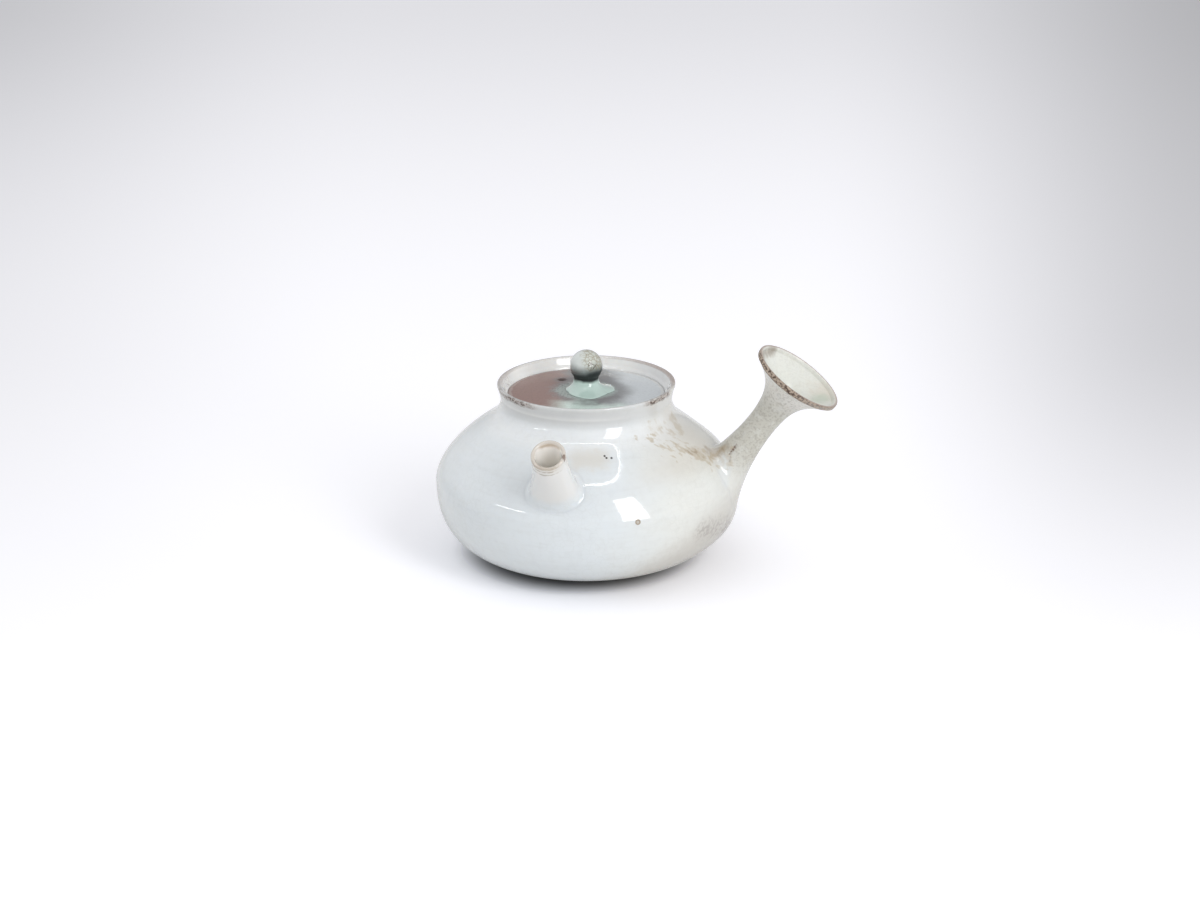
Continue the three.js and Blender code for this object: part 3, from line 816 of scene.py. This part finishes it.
def apply_tree(name, start, tree, **values):
    """Runs a tree on an object, keeps the result as a plain mesh and drops the start."""
    modifier = start.modifiers.new(tree.name, "NODES")
    modifier.node_group = tree
    for item in tree.interface.items_tree:
        if item.in_out == "INPUT" and item.name in values:
            modifier[item.identifier] = values[item.name]
    mesh = plain_mesh(start, modifier)
    bpy.data.objects.remove(start)
    mesh.name = name
    return face_out(new_piece(name, mesh))


# %% The wheel as a node tree
def wheel_tree():
    sheet, (outline, sides, glaze) = new_tree(
        "potters_wheel", "Pot", Outline="Geometry", Sides="Int", Glaze="Material")
    rows = sheet.node("GeometryNodeAttributeDomainSize", {}, {0: outline})
    size = {"Vertices X": sides + 1, "Vertices Y": rows}
    grid = sheet.node("GeometryNodeMeshGrid", {}, size)
    index = sheet.node("GeometryNodeInputIndex")
    column = (index / rows).math("FLOOR", index / rows)
    place = sheet.node("GeometryNodeInputPosition")
    sampled = {"Geometry": outline, "Value": place, "Index": index - column * rows}
    radius, unused, height = sheet.split(
        sheet.node("GeometryNodeSampleIndex", {"data_type": "FLOAT_VECTOR"}, sampled))
    turn = column / sides * (2 * math.pi)
    east = radius * turn.math("SINE", turn)
    north = radius * turn.math("COSINE", turn)
    point = sheet.node("ShaderNodeCombineXYZ", {}, {0: east, 1: north, 2: height})
    turned = sheet.node("GeometryNodeSetPosition", {}, {"Geometry": grid, "Position": point})
    closed = sheet.node("GeometryNodeMergeByDistance", {}, {"Geometry": turned, "Distance": 1e-6})
    return end_tree(sheet, closed, glaze)


WHEEL = wheel_tree()


def thrown(name, outline, glaze, sides=256):
    """A piece turned on the wheel from an outline of (radius, height) in millimetres."""
    points = [(radius * MM, 0, height * MM) for radius, height in outline]
    mesh = bpy.data.meshes.new(name + "_outline")
    mesh.from_pydata(points, [(i, i + 1) for i in range(len(points) - 1)], [])
    start = new_piece(name + "_outline", mesh)
    piece = apply_tree(name, start, WHEEL, Sides=sides, Glaze=glaze)
    print(name, len(piece.data.polygons), "faces")
    return piece


# %% [markdown]
# ## Cutting
# A hole through a thrown wall is a boolean cut. The exact solver is slower than the others, but it
# leaves clean edges on curved walls and a closed mesh, and there are only a few cuts.

# %% The cut
def cut(piece, tool, operation="DIFFERENCE"):
    """Takes a tool out of a piece, or keeps what both share, and removes the tool."""
    modifier = piece.modifiers.new("cut", "BOOLEAN")
    modifier.operation = operation
    modifier.solver = "EXACT"
    modifier.object = tool
    old = piece.data
    piece.data = plain_mesh(piece, modifier)
    bpy.data.meshes.remove(old)
    bpy.data.objects.remove(tool)
    return face_out(piece)


# %% [markdown]
# ## The body
# The outline runs from the axis under the foot, up the outside, over the lip, down to the ledge
# where the lid sits, and back along the inside of the wall. Sharp corners are softened, because
# glaze never lies sharp and an edge without a round catches no light.

# %% Throw the body
LIP = 1.5
EDGE_ROUND = 0.6
COLLAR_TILT = [(0, 55), (1, 53), (2, 49), (7.5, 18), (8.5, 9), (9.5, 3)]


def inside_wall(gap, steps=48):
    """The inside of the wall from under the ledge down to the floor, drawn in by a gap."""
    ceiling, floor = THROAT_Z - 3.2, FOOT_H + WALL + gap
    heights = np.linspace(ceiling, floor, steps, endpoint=False)
    wall = np.column_stack([offset_radius(heights, -WALL - gap), heights])
    return np.vstack([wall, [[FOOT_R - WALL, floor]]])


def collar_curve(start, steps=32):
    """From the shoulder up into the neck, by following the tilt of the wall along the way."""
    way, tilt = np.array(COLLAR_TILT, float).T
    marks = np.linspace(0, way[-1], steps + 1)
    middle = np.radians(np.interp((marks[1:] + marks[:-1]) / 2, way, tilt))
    climb = np.cumsum(np.column_stack([-np.sin(middle), np.cos(middle)]), axis=0)
    return start + climb * (start[0] - NECK_R) / -climb[-1, 0]


def body_outline():
    low = BELLY_Z - (BELLY_Z - FOOT_H) * np.cos(np.linspace(0, np.pi / 2, 56))
    high = np.linspace(BELLY_Z, SHOULDER_TOP_Z, 44)[1:]
    heights = np.concatenate([low, high])
    outside = np.column_stack([body_radius(heights), heights])
    collar = collar_curve(outside[-1])
    edge = (RIM_R, RIM_Z - LIP / 2)
    flare = bezier([collar[-1], collar[-1] + [0, 1.2], (RIM_R - 0.5, RIM_Z - 2.2), edge], 12)[1:]
    inside = inside_wall(0)
    top = soften([edge, (RIM_R - 0.15, RIM_Z), (RIM_R - LIP, RIM_Z - 0.1),
                  (SEAT_R + 1.0, LID_TOP_Z + 0.3), (SEAT_R, LID_TOP_Z - 0.4), (SEAT_R, LID_UNDER_Z),
                  (THROAT_R, LID_UNDER_Z), (THROAT_R, THROAT_Z), inside[0]], EDGE_ROUND)
    return np.vstack([[[0, FOOT_H]], outside, collar, flare, top, inside, [[0, FOOT_H + WALL]]])


body = thrown("thrown_body", body_outline(), GLAZE)

# %% Open the way into the spout
OUTLET_R = 6.6
OUTLET_FROM, OUTLET_TO = -38, -14

outlet_outline = [(0, OUTLET_FROM), (OUTLET_R, OUTLET_FROM), (OUTLET_R, OUTLET_TO), (0, OUTLET_TO)]
outlet = thrown("tool", outlet_outline, GLAZE, 64)
set_in(outlet, SPOUT)
body = cut(body, face_out(outlet))
print("body after the cut:", len(body.data.polygons), "faces")

# %% [markdown]
# ## What drying did
# Clay moves as it dries. The handle's weight made the wall sag under it and flattened the shoulder
# above, and the rim leans a little. A push moves all points near a place and fades out like a bell.

# %% Push the clay
def push(piece, centre, way, reach):
    """Moves the clay round a point, in millimetres."""
    for vertex in piece.data.vertices:
        gap = (vertex.co / MM - Vector(centre)).length / reach
        vertex.co += Vector(way) * MM * math.exp(-gap * gap / 2)


def sag(piece):
    push(piece, on_wall(92, 18), (1.65, 0, 0), 11)


sag(body)
push(body, on_wall(122, 49.5), (-0.6, -0.3, -0.6), 6)
push(body, on_wall(-79, 36), (-0.35, 0.07, 0), 15)
for vertex in body.data.vertices:
    x, y, z = vertex.co / MM
    share = min(1, max(0, (z - LID_UNDER_Z - 0.5) / 5))
    vertex.co.z += rim_lift(x, y) * share * share * (3 - 2 * share) * MM
rim_heights = [RIM_Z + rim_lift(8 * side, RIM_R * side) for side in (-1, 1)]
print("rim height in front and behind:", np.round(rim_heights, 2), "mm")

# %% [markdown]
# ## Tubes that grow out of the body
# A tube joined to a pot is wetted and smoothed, so its root sweeps into the wall. Each side of the
# tube is one column of points: along the wall for a little way, up a curve onto the tube, out to
# the mouth, over the lip and back down the bore. The columns together make one closed mesh. A
# boolean union would give the same join, but not the soft sweep.

# %% Columns of a rooted tube
def to_pot(frame, points):
    return points @ frame[:3, :3].T + frame[:3, 3]


ROUNDS = 40
FAR_INSIDE = 64
FIRST_GUESS = 20


def wall_depth(frame, x, y, gap):
    """How far back from the mouth lines along the tube meet the wall, moved out by a gap."""
    outside = np.zeros_like(x)
    inside = np.full_like(x, FAR_INSIDE)
    for halving in range(ROUNDS):
        middle = (outside + inside) / 2
        point = to_pot(frame, np.stack([x, y, -middle], -1))
        free = np.hypot(point[..., 0], point[..., 1]) > offset_radius(point[..., 2], gap)
        outside = np.where(free, middle, outside)
        inside = np.where(free, inside, middle)
    return outside


def root_depth(frame, section, turn, gap):
    """The depth at which a tube of changing section reaches the wall."""
    depth = np.full_like(turn, FIRST_GUESS)
    for step in range(ROUNDS):
        depth = (depth + wall_depth(frame, *section(depth, turn), gap)) / 2
    return depth


def onto_wall(points, gap):
    """The points of the wall close to these, moved out by a gap."""
    scale = offset_radius(points[..., 2], gap) / np.hypot(points[..., 0], points[..., 1])
    return points * np.stack([scale, scale, np.ones_like(scale)], -1)


def laid_on_wall(direction, points):
    """The way each direction runs once it is laid on the wall."""
    normal = points * [1, 1, 0]
    normal /= np.linalg.norm(normal, axis=-1, keepdims=True)
    normal[..., 2] = -wall_slope(points[..., 2])
    normal /= np.linalg.norm(normal, axis=-1, keepdims=True)
    flat = direction - normal * (direction * normal).sum(-1, keepdims=True)
    return flat / np.linalg.norm(flat, axis=-1, keepdims=True)


# %% The rooted tube
SUNK = 0.012
IN_WALL = 1.2
JOINT_GAP = 0.3
SWEEP_STEP = 0.8
SWEEP_PULL = 1.6


def rooted_tube(name, tube, glaze, sides=144, sweep_steps=16):
    frame, section = tube["frame"], tube["section"]
    turn = np.linspace(0, 2 * np.pi, sides, endpoint=False)
    round_way = np.stack([np.cos(turn), np.sin(turn)])

    def bore(depth, turn):
        return np.array(section(depth, turn)) - tube["wall"](depth) * round_way

    def placed(flat, depth):
        return to_pot(frame, np.stack([flat[0], flat[1], -depth], -1))

    meets = root_depth(frame, section, turn, 0)
    lifted = meets - tube["rise"](turn)
    corner = placed(section(meets, turn), meets)
    start = placed(section(lifted, turn), lifted)
    above = placed(section(lifted - SWEEP_STEP, turn), lifted - SWEEP_STEP)
    ahead = start + (start - above) * SWEEP_PULL
    outwards = np.stack([*round_way, np.zeros(sides)], -1) @ frame[:3, :3].T
    edge = corner + laid_on_wall(outwards, corner) * tube["reach"](turn)[:, None]
    bore_end = root_depth(frame, bore, turn, JOINT_GAP)
    bore_foot = placed(bore(bore_end, turn), bore_end)

    rows = [onto_wall((bore_foot + edge) / 2, -IN_WALL), onto_wall(edge, -IN_WALL)]
    nearly = onto_wall(edge * 0.55 + corner * 0.45, -SUNK)
    controls = [onto_wall(edge, -SUNK), nearly, onto_wall(corner, 0.1), ahead, start]
    rows.extend(bezier(controls, sweep_steps)[:-1])
    for share in tube["outside"]:
        depth = lifted * share
        flat = np.array(section(depth, turn))
        rows.append(placed(flat, depth + tube["cut"](*flat) * (1 - share)))
    outer_rows = len(rows)
    for draw_in, depth in tube["lip"]:
        flat = np.array(section(np.zeros(sides), turn)) - draw_in * round_way
        rows.append(placed(flat, depth + tube["cut"](*flat)))
    lip_rows = len(rows)
    for share in tube["bore"]:
        depth = bore_end * share
        flat = bore(depth, turn)
        rows.append(placed(flat, depth + tube["cut"](*flat) * (1 - share)))

    count = len(rows)
    points = np.array(rows).transpose(1, 0, 2).reshape(-1, 3) * MM
    faces = []
    for i in range(sides):
        for j in range(count):
            a, b = i * count + j, (i + 1) % sides * count + j
            c, d = (i + 1) % sides * count + (j + 1) % count, i * count + (j + 1) % count
            faces.append((a, b, c, d))
    mesh = bpy.data.meshes.new(name)
    mesh.from_pydata(points.tolist(), [], faces)
    mesh.materials.append(glaze)
    share_in = np.interp(np.arange(count), [outer_rows - 1, lip_rows], [0, 1])
    bore_share = mesh.attributes.new("bore", "FLOAT", "POINT")
    bore_share.data.foreach_set("value", np.tile(share_in, sides))
    print(name, len(faces), "faces, root", *np.round([meets.min(), meets.max()], 1), "mm deep")
    return face_out(new_piece(name, mesh))


# %% [markdown]
# ## The spout
# It is slim underneath and widens sideways towards its root. The mouth is cut a little lower than
# square, so the last drop runs back. The lip is a half round as thick as the wall.

# %% Throw the spout
SPOUT_R = 5.95
SPOUT_WALL = 1.25
SPOUT_CUT = math.tan(math.radians(2.5))
SPOUT_LEAN = -0.045
SPOUT_SPREAD = 0.0056
SPOUT_TOP_SPREAD = 0.005
SPOUT_THICKENS = 0.13


def half_round(thickness, height, steps=10):
    """Steps over a rounded lip, as how far in from the outside and how far down from the top."""
    turn = np.linspace(0, np.pi, steps)
    return np.column_stack([thickness / 2 * (1 - np.cos(turn)), height * (1 - np.sin(turn))])


def spout_section(depth, turn):
    across = SPOUT_R + SPOUT_SPREAD * depth**2
    lengthways = SPOUT_R + np.where(np.cos(turn) > 0, 0, SPOUT_TOP_SPREAD * depth**2)
    return lengthways * np.cos(turn), across * np.sin(turn) + SPOUT_LEAN * depth


spout = rooted_tube("spout_tube", {
    "frame": SPOUT,
    "section": spout_section,
    "wall": lambda depth: SPOUT_WALL + SPOUT_THICKENS * depth,
    "cut": lambda x, y: x * SPOUT_CUT,
    "reach": lambda turn: 2 - 0.6 * np.cos(turn),
    "rise": lambda turn: 3 + 0 * turn,
    "outside": np.linspace(1, 0.05, 28),
    "lip": half_round(SPOUT_WALL, 0.6),
    "bore": np.linspace(0.05, 1, 24),
}, GLAZE)

# %% [markdown]
# ## The handle
# It is a hollow trumpet: a wide mouth with a straight edge, a flare that falls away fast, a waist
# for two fingers and a slow widening to the root. A falling exponential gives the flare.

# %% Throw the handle
HANDLE_MOUTH_R = 16.6
HANDLE_WAIST_R = 5.05
HANDLE_LEAN = -0.012
HANDLE_WAIST_AT = 20
HANDLE_EDGE = 1.6
HANDLE_WALL = 1.7
HANDLE_FALL = (0.143, 0.0045)
HANDLE_SPREAD = (0.0055, 0.0012)


def handle_section(depth, turn):
    back = np.maximum(0, depth - HANDLE_EDGE)
    fall = HANDLE_FALL[0] * back + HANDLE_FALL[1] * back**2
    flare = (HANDLE_MOUTH_R - HANDLE_WAIST_R) * np.exp(-fall)
    spread = HANDLE_SPREAD[0] - HANDLE_SPREAD[1] * np.cos(turn)
    root = spread * np.maximum(0, depth - HANDLE_WAIST_AT) ** 2
    radius = HANDLE_WAIST_R + flare + root
    return radius * np.cos(turn) + HANDLE_LEAN * depth, radius * np.sin(turn)


handle = rooted_tube("handle_trumpet", {
    "frame": HANDLE,
    "section": handle_section,
    "wall": lambda depth: HANDLE_WALL - 0.6 * np.exp(-depth / 3),
    "cut": lambda x, y: (y + HANDLE_MOUTH_R) * -0.022,
    "reach": lambda turn: 2.8 + 0.8 * np.cos(turn),
    "rise": lambda turn: 4.5 + 1.5 * np.cos(turn),
    "outside": np.concatenate([np.linspace(1, 0.4, 24), np.linspace(0.38, 0.06, 26),
                               [0.045, 0.035, 0.022]]),
    "lip": [(0, 0.35), (0.06, 0.15), (0.2, 0.03), (0.4, 0), (0.6, 0), (0.85, 0.1), (1.05, 0.3),
            (1.12, 0.5)],
    "bore": np.concatenate([np.linspace(0.02, 0.35, 22), np.linspace(0.4, 1, 18)]),
}, GLAZE)
sag(handle)

# %% [markdown]
# ## The foot
# A low ring-shaped disc with a softened edge, left bare so that the pot doesn't stick to the kiln
# shelf. It can hardly be seen, but the pot stands on it.

# %% Turn the foot
foot_outline = soften([(0, 0), (FOOT_R, 0), (FOOT_R, FOOT_H), (0, FOOT_H)], EDGE_ROUND)
foot = thrown("turned_foot", foot_outline, BARE_CLAY)

# %% [markdown]
# ## The strainer
# A clay dome with round holes keeps the leaves back. Holes in rings repeat by a rule, so a node
# tree drills them: ring number k has 6k holes, and simple sums turn a hole's number into its ring
# and its place on it. The drilled dome is then trimmed to the inside of the wall.

# %% The drill as a node tree
STRAINER_R = 11
STRAINER_DEPTH = 6
STRAINER_T = 1.5
STRAINER_Z = 41
HOLE_R = 0.9
HOLE_SPACING = 2.9
HOLES = 19
DRILL_DEPTH = 3 * STRAINER_DEPTH
SKIRT = 7
STRAINER_SLOPE = math.radians(36)


def drill_tree():
    sheet, (dome, holes, hole_radius, spacing, depth, clay) = new_tree(
        "ring_drill", "Strainer", Dome="Geometry", Holes="Int", Radius="Float", Spacing="Float",
        Depth="Float", Clay="Material")
    index = sheet.node("GeometryNodeInputIndex")
    root = index.math("SQRT", (index * 12 - 3).most(0))
    ring = root.math("FLOOR", (root + 3) / 6)
    on_ring = index - 1 - ring * (ring - 1) * 3
    angle = on_ring / (ring * 6) * (2 * math.pi)
    reach = ring * spacing
    spot = {0: reach * angle.math("COSINE", angle), 1: reach * angle.math("SINE", angle)}
    centres = {"Count": holes, "Position": sheet.node("ShaderNodeCombineXYZ", {}, spot)}
    points = sheet.node("GeometryNodePoints", {}, centres)
    size = {"Vertices": 20, "Radius": hole_radius, "Depth": depth}
    drill = sheet.node("GeometryNodeMeshCylinder", {}, size)
    drills = sheet.node("GeometryNodeInstanceOnPoints", {}, {"Points": points, "Instance": drill})
    drills = sheet.node("GeometryNodeRealizeInstances", {}, {0: drills})
    settings = {"operation": "DIFFERENCE", "solver": "EXACT"}
    pierced = sheet.node("GeometryNodeMeshBoolean", settings, {0: dome, 1: drills})
    return end_tree(sheet, pierced, clay)


DRILL = drill_tree()

# %% Make the strainer
def dome_arc(radius, depth, steps=20):
    turn = np.linspace(0, np.pi / 2, steps)
    return np.column_stack([radius * np.sin(turn), -depth * np.cos(turn)])


inner_arc = dome_arc(STRAINER_R - STRAINER_T, STRAINER_DEPTH - STRAINER_T)
outer_arc = dome_arc(STRAINER_R, STRAINER_DEPTH)
skirt = [(STRAINER_R, SKIRT), (STRAINER_R - STRAINER_T, SKIRT)]
dome_outline = [*outer_arc, *skirt, *inner_arc[::-1]]
dome = thrown("strainer_dome", dome_outline, BARE_CLAY, 96)
strainer = apply_tree("pierced_strainer", dome, DRILL, Holes=HOLES, Radius=HOLE_R * MM,
                      Spacing=HOLE_SPACING * MM, Depth=DRILL_DEPTH * MM, Clay=BARE_CLAY)
strainer_reach = float(body_radius(STRAINER_Z)) - WALL
set_in(strainer, tube_frame(strainer_reach, STRAINER_Z, STRAINER_SLOPE, (0, -1, 0)))
hollow = inside_wall(JOINT_GAP)
room = thrown("room", [(0, hollow[0][1]), *hollow, (0, hollow[-1][1])], BARE_CLAY, 128)
strainer = cut(strainer, room, "INTERSECT")
print("strainer", len(strainer.data.polygons), "faces")

# %% [markdown]
# ## The lid
# A flat disc with a slight crown and turning rings, which show as soft circles in its glaze. The
# steam vent is cut with a tool that widens at the top, so that the hole has a rounded mouth.

# %% Turn the lid
LID_EDGE_Z = LID_TOP_Z - 0.5
KNOB_FOOT_R = 8.8
VENT_R = 1.5
LID_RING_HEIGHT = 0.4
LID_SEEN_R = LID_R + 0.46


def lid_outline():
    reach = np.linspace(LID_SEEN_R - 0.4, KNOB_FOOT_R, 60)
    out = (reach - KNOB_FOOT_R) / (LID_SEEN_R - KNOB_FOOT_R)
    crown = LID_EDGE_Z + (LID_TOP_Z - LID_EDGE_Z) * (1 - out**1.5)
    crown = crown + LID_RING_HEIGHT * rings(reach * 1.6) * np.minimum(1, 4 * out)
    side = soften([(0, LID_UNDER_Z), (LID_SEEN_R, LID_UNDER_Z), (LID_SEEN_R, LID_EDGE_Z),
                   (reach[0], crown[0])], 0.2)
    return np.vstack([side, np.column_stack([reach, crown])[1:], [[0, LID_TOP_Z]]])


lid = thrown("lid_disc", lid_outline(), LID_GLAZE)
vent_outline = [(0, LID_UNDER_Z - 2), (VENT_R, LID_UNDER_Z - 2), (VENT_R, LID_TOP_Z - 0.7),
                (VENT_R + 0.15, LID_TOP_Z - 0.35), (VENT_R + 0.6, LID_TOP_Z + 0.1),
                (0, LID_TOP_Z + 0.1)]
vent = thrown("vent_tool", vent_outline, LID_GLAZE, 48)
vent.data.transform(Matrix.Translation((VENT_AT[0] * MM, VENT_AT[1] * MM, 0)))
lid = cut(lid, vent)

# %% The ring under the lid
FLANGE_T = 1.8
flange_in = FLANGE_R - FLANGE_T
flange_side = soften([(flange_in, LID_UNDER_Z), (flange_in, FLANGE_LOW_Z), (FLANGE_R, FLANGE_LOW_Z),
                      (FLANGE_R, LID_UNDER_Z)], EDGE_ROUND)
flange = thrown("lid_ring", [*flange_side, (flange_in, LID_UNDER_Z)], BARE_CLAY, 160)

# %% [markdown]
# ## The knob
# A ball on a short waist, on a pool of glaze that spreads over the lid. The pool ran into corners,
# so after turning, the points near the lid are moved to a reach that a short list gives per turn.

# %% Turn the knob
BALL_R = 5.85
WAIST_R = 4.45
POOL_TURNS = [-141, -100, -56, -29, -2, 21, 49, 76, 100, 134, 165]
POOL_REACH = [9.1, 7.4, 6.7, 7.9, 9.2, 10.6, 9.0, 8.6, 10.2, 10.6, 9.6]


def knob_outline():
    bends = [(KNOB_FOOT_R, 0.25), (WAIST_R + 2, 1.2), (WAIST_R + 0.2, 2.2), (WAIST_R, 4.6)]
    flare = bezier(bends, 16)
    under = math.pi - math.asin(WAIST_R / BALL_R)
    turn = np.linspace(under, 0, 40)
    centre = KNOB_TOP_Z - LID_TOP_Z - BALL_R
    ball = np.column_stack([BALL_R * np.sin(turn), centre + BALL_R * np.cos(turn)])
    edge = soften([(0, 0), (KNOB_FOOT_R, 0), (KNOB_FOOT_R + 0.02, 0.22), tuple(flare[1])], 0.1)
    return np.vstack([edge, flare[2:], ball]) + [0, LID_TOP_Z]


knob = thrown("ball_knob", knob_outline(), KNOB_GLAZE, 128)
for vertex in knob.data.vertices:
    turn = math.degrees(math.atan2(vertex.co.x, -vertex.co.y))
    low = max(0, 1 - (vertex.co.z / MM - LID_TOP_Z) / 3) ** 2
    pull = np.interp(turn, POOL_TURNS, POOL_REACH, period=360) / KNOB_FOOT_R
    vertex.co.xy *= 1 + (pull - 1) * low

# %% [markdown]
# ## Hand the pieces over
# Each piece rides on the pot or on the lid, so when the lid lifts, its disc, ring and knob go up
# together. Each also hides the solid of the model that it stands for.

# %% Body, spout, handle, foot and strainer on the pot, the rest on the lid
for piece, moves_with, node, finish in (
        (body, "pot", "body", "white_glaze"),
        (foot, "pot", "foot", "bare_clay"),
        (spout, "pot", "spout", "white_glaze"),
        (handle, "pot", "handle", "cream_glaze"),
        (strainer, "pot", "strainer", "bare_clay"),
        (lid, "lid", "lid_plate", "lid_glaze"),
        (flange, "lid", "lid_flange", "bare_clay"),
        (knob, "lid", "lid_knob", "celadon_glaze")):
    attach(piece, moves_with)
    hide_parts(node)
    print(piece.name, "moves with the", moves_with)

# %% [markdown]
# ## The table
# A white sheet larger than the view. It is lit like the pot and keeps the pot's shadow. In the
# photograph it is pure white and falls off to grey far behind and to the sides, so a ray from the
# camera sees a brighter white that falls off the same way. The pot itself is lit by plain white.
# Close to the pot a contact shadow is painted into that white.

# %% Floor
FLOOR_R = 3.0
SEEN_WHITE = 1.18


def floor_material():
    material, sheet = new_material("white_sheet")
    ease = sheet.ease
    place = sheet.place()
    ahead = (-math.sin(CAMERA_TURN), math.cos(CAMERA_TURN), 0)
    right = (math.cos(CAMERA_TURN), math.sin(CAMERA_TURN), 0)
    eye = tuple(camera.location / MM)
    depth = sheet.along(place, eye, ahead)
    aside = sheet.along(place, eye, right) / depth
    behind = ease(depth, 900, 2300)
    shade = 1 - behind * 0.18
    edges = ease(aside, 0.09, 0.3) * 0.4 + ease(aside, -0.1, -0.32) * (0.14 + behind * 0.14)
    shade = shade * (1 - edges * ease(depth, 480, 1050))
    # Painted shadow: close to the pot the white that the camera sees is painted darker, a contact
    # shadow in the floor's colour.
    shade = shade * (0.12 + 0.88 * ease(sheet.beside(place, (-4, 6, 0)), 33, 48))
    white = sheet.scaled((0.99, 0.985, 1.02), shade * SEEN_WHITE)
    seen = sheet.node("ShaderNodeLightPath")
    colour = sheet.mix(seen, rgb("#EFEFEF"), white)
    shader = sheet.node("ShaderNodeBsdfPrincipled", {}, {
        "Base Color": colour, "Roughness": 0.9, "Specular IOR Level": 0.0})
    sheet.end(shader)
    return material


floor_mesh = bpy.data.meshes.new("floor")
work = bmesh.new()
bmesh.ops.create_circle(work, cap_ends=True, segments=96, radius=FLOOR_R)
work.to_mesh(floor_mesh)
work.free()
floor_mesh.materials.append(floor_material())
floor = new_piece("floor", floor_mesh)

# %% [markdown]
# ## Light
# The photograph has a big soft light to the front right and a pale room all round that is dimmer
# overhead. The lamp's place is read from where it shines in the glaze.
# The world gives the room, and the lamps only add a little, so colours stay as they were mixed.

# %% World
def direction(turn, height):
    """A unit vector to a turn round the pot, from the spout's side, and a height in degrees."""
    turn, height = math.radians(turn), math.radians(height)
    flat = math.cos(height)
    return Vector((math.sin(turn) * flat, -math.cos(turn) * flat, math.sin(height)))


def room_light():
    world = bpy.data.worlds.new("room")
    bpy.context.scene.world = world
    world.use_nodes = True
    world.node_tree.nodes.clear()
    sheet = Sheet(world.node_tree)
    way = sheet.node("ShaderNodeTexCoord", {}, {}, 0)
    x, y, z = sheet.split(way)

    def towards(turn, height, far, near):
        facing = sheet.vector("DOT_PRODUCT", way, tuple(direction(turn, height)), output=1)
        return sheet.ease(facing, far, near)

    colour = sheet.mix(sheet.ease(z, 0.15, 0.95), (0.87, 0.883, 0.9, 1), (0.62, 0.62, 0.62, 1))
    paler = towards(-100, 52, 0.6, 1) * 0.5 + towards(112, 40, 0.6, 1) * 0.15
    colour = sheet.scaled(colour, (1 + paler) * (1 - towards(172, 5, 0.6, 0.95) * 0.4))
    room = sheet.node("ShaderNodeBackground", {}, {"Color": colour, "Strength": 0.95})
    white = sheet.node("ShaderNodeBackground", {}, {"Color": rgb("#E6E5E9"), "Strength": 1.0})
    seen = sheet.node("ShaderNodeLightPath")
    both = sheet.node("ShaderNodeMixShader", {}, {0: seen, 1: room, 2: white})
    sheet.node("ShaderNodeOutputWorld", {}, {"Surface": both})


room_light()

# %% Lamps
LIGHT_AIM = Vector((0, 0, 0.03))
LIGHT_DISTANCE = 1.2


def softbox(name, turn, height, size, brightness, dip=None):
    """A lamp that faces the pot, or dips less. A brightness of 1 looks white."""
    lamp = bpy.data.lights.new(name, "AREA")
    lamp.shape = "RECTANGLE"
    lamp.size, lamp.size_y = size
    lamp.energy = brightness * math.pi * size[0] * size[1]
    holder = new_piece(name, lamp)
    way = direction(turn, height)
    holder.location = LIGHT_AIM + way * LIGHT_DISTANCE
    facing = way if dip is None else direction(turn, dip)
    holder.rotation_euler = facing.to_track_quat("Z", "Y").to_euler()
    print(name, "at", [round(v, 2) for v in holder.location])
    return holder


softbox("key_front_right", 48, 34, (0.36, 1.0), 5.1, dip=0)

# %% [markdown]
# ## Lights that only glint
# Two more lights are so thin that they hardly light the pot, but each draws a line in the glaze: a
# strip to the left, and the bright edge of a panel overhead. They are kept out of diffuse light,
# so they can be as bright as a line needs.

# %% Glints
def only_glint(piece):
    piece.visible_camera = False
    piece.visible_diffuse = False
    piece.visible_shadow = False
    return piece


only_glint(softbox("left_strip", -48, 21, (0.5, 0.02), 9))

PANEL_Z = 1.0
PANEL_EDGE = [(-0.45, -0.27), (-0.27, -0.345), (-0.16, -0.42), (-0.015, -0.415), (0.12, -0.395),
              (0.225, -0.36), (0.3, -0.3), (0.355, -0.22), (0.36, -0.14), (0.335, -0.05),
              (0.3, 0.05), (0.255, 0.14), (0.2, 0.24)]
PANEL_CORNER = 0.03
PANEL_STRIP = 0.03
PANEL_GLOW = 8


def glowing_edge(name, corners, height, glow):
    """A thin flat strip that turns round corners. It is wider in front than at the side."""
    outer = soften(corners, PANEL_CORNER)
    strip = PANEL_STRIP * np.interp(outer[:, 1:], [-0.3, 0], [1, 0.4])
    inner = outer * (1 - strip / np.linalg.norm(outer, axis=1, keepdims=True))
    count = len(outer)
    points = [(*point, height) for point in np.vstack([outer, inner])]
    faces = [(i, i + 1, count + i + 1, count + i) for i in range(count - 1)]
    mesh = bpy.data.meshes.new(name)
    mesh.from_pydata(points, [], faces)
    material, sheet = new_material(name)
    light = sheet.node("ShaderNodeEmission", {}, {"Color": (1, 1, 1, 1), "Strength": glow})
    sheet.end(light)
    mesh.materials.append(material)
    return new_piece(name, mesh)


panel_edge = only_glint(glowing_edge("panel_edge", PANEL_EDGE, PANEL_Z, PANEL_GLOW))

scene = bpy.context.scene
scene.view_settings.view_transform = "Standard"
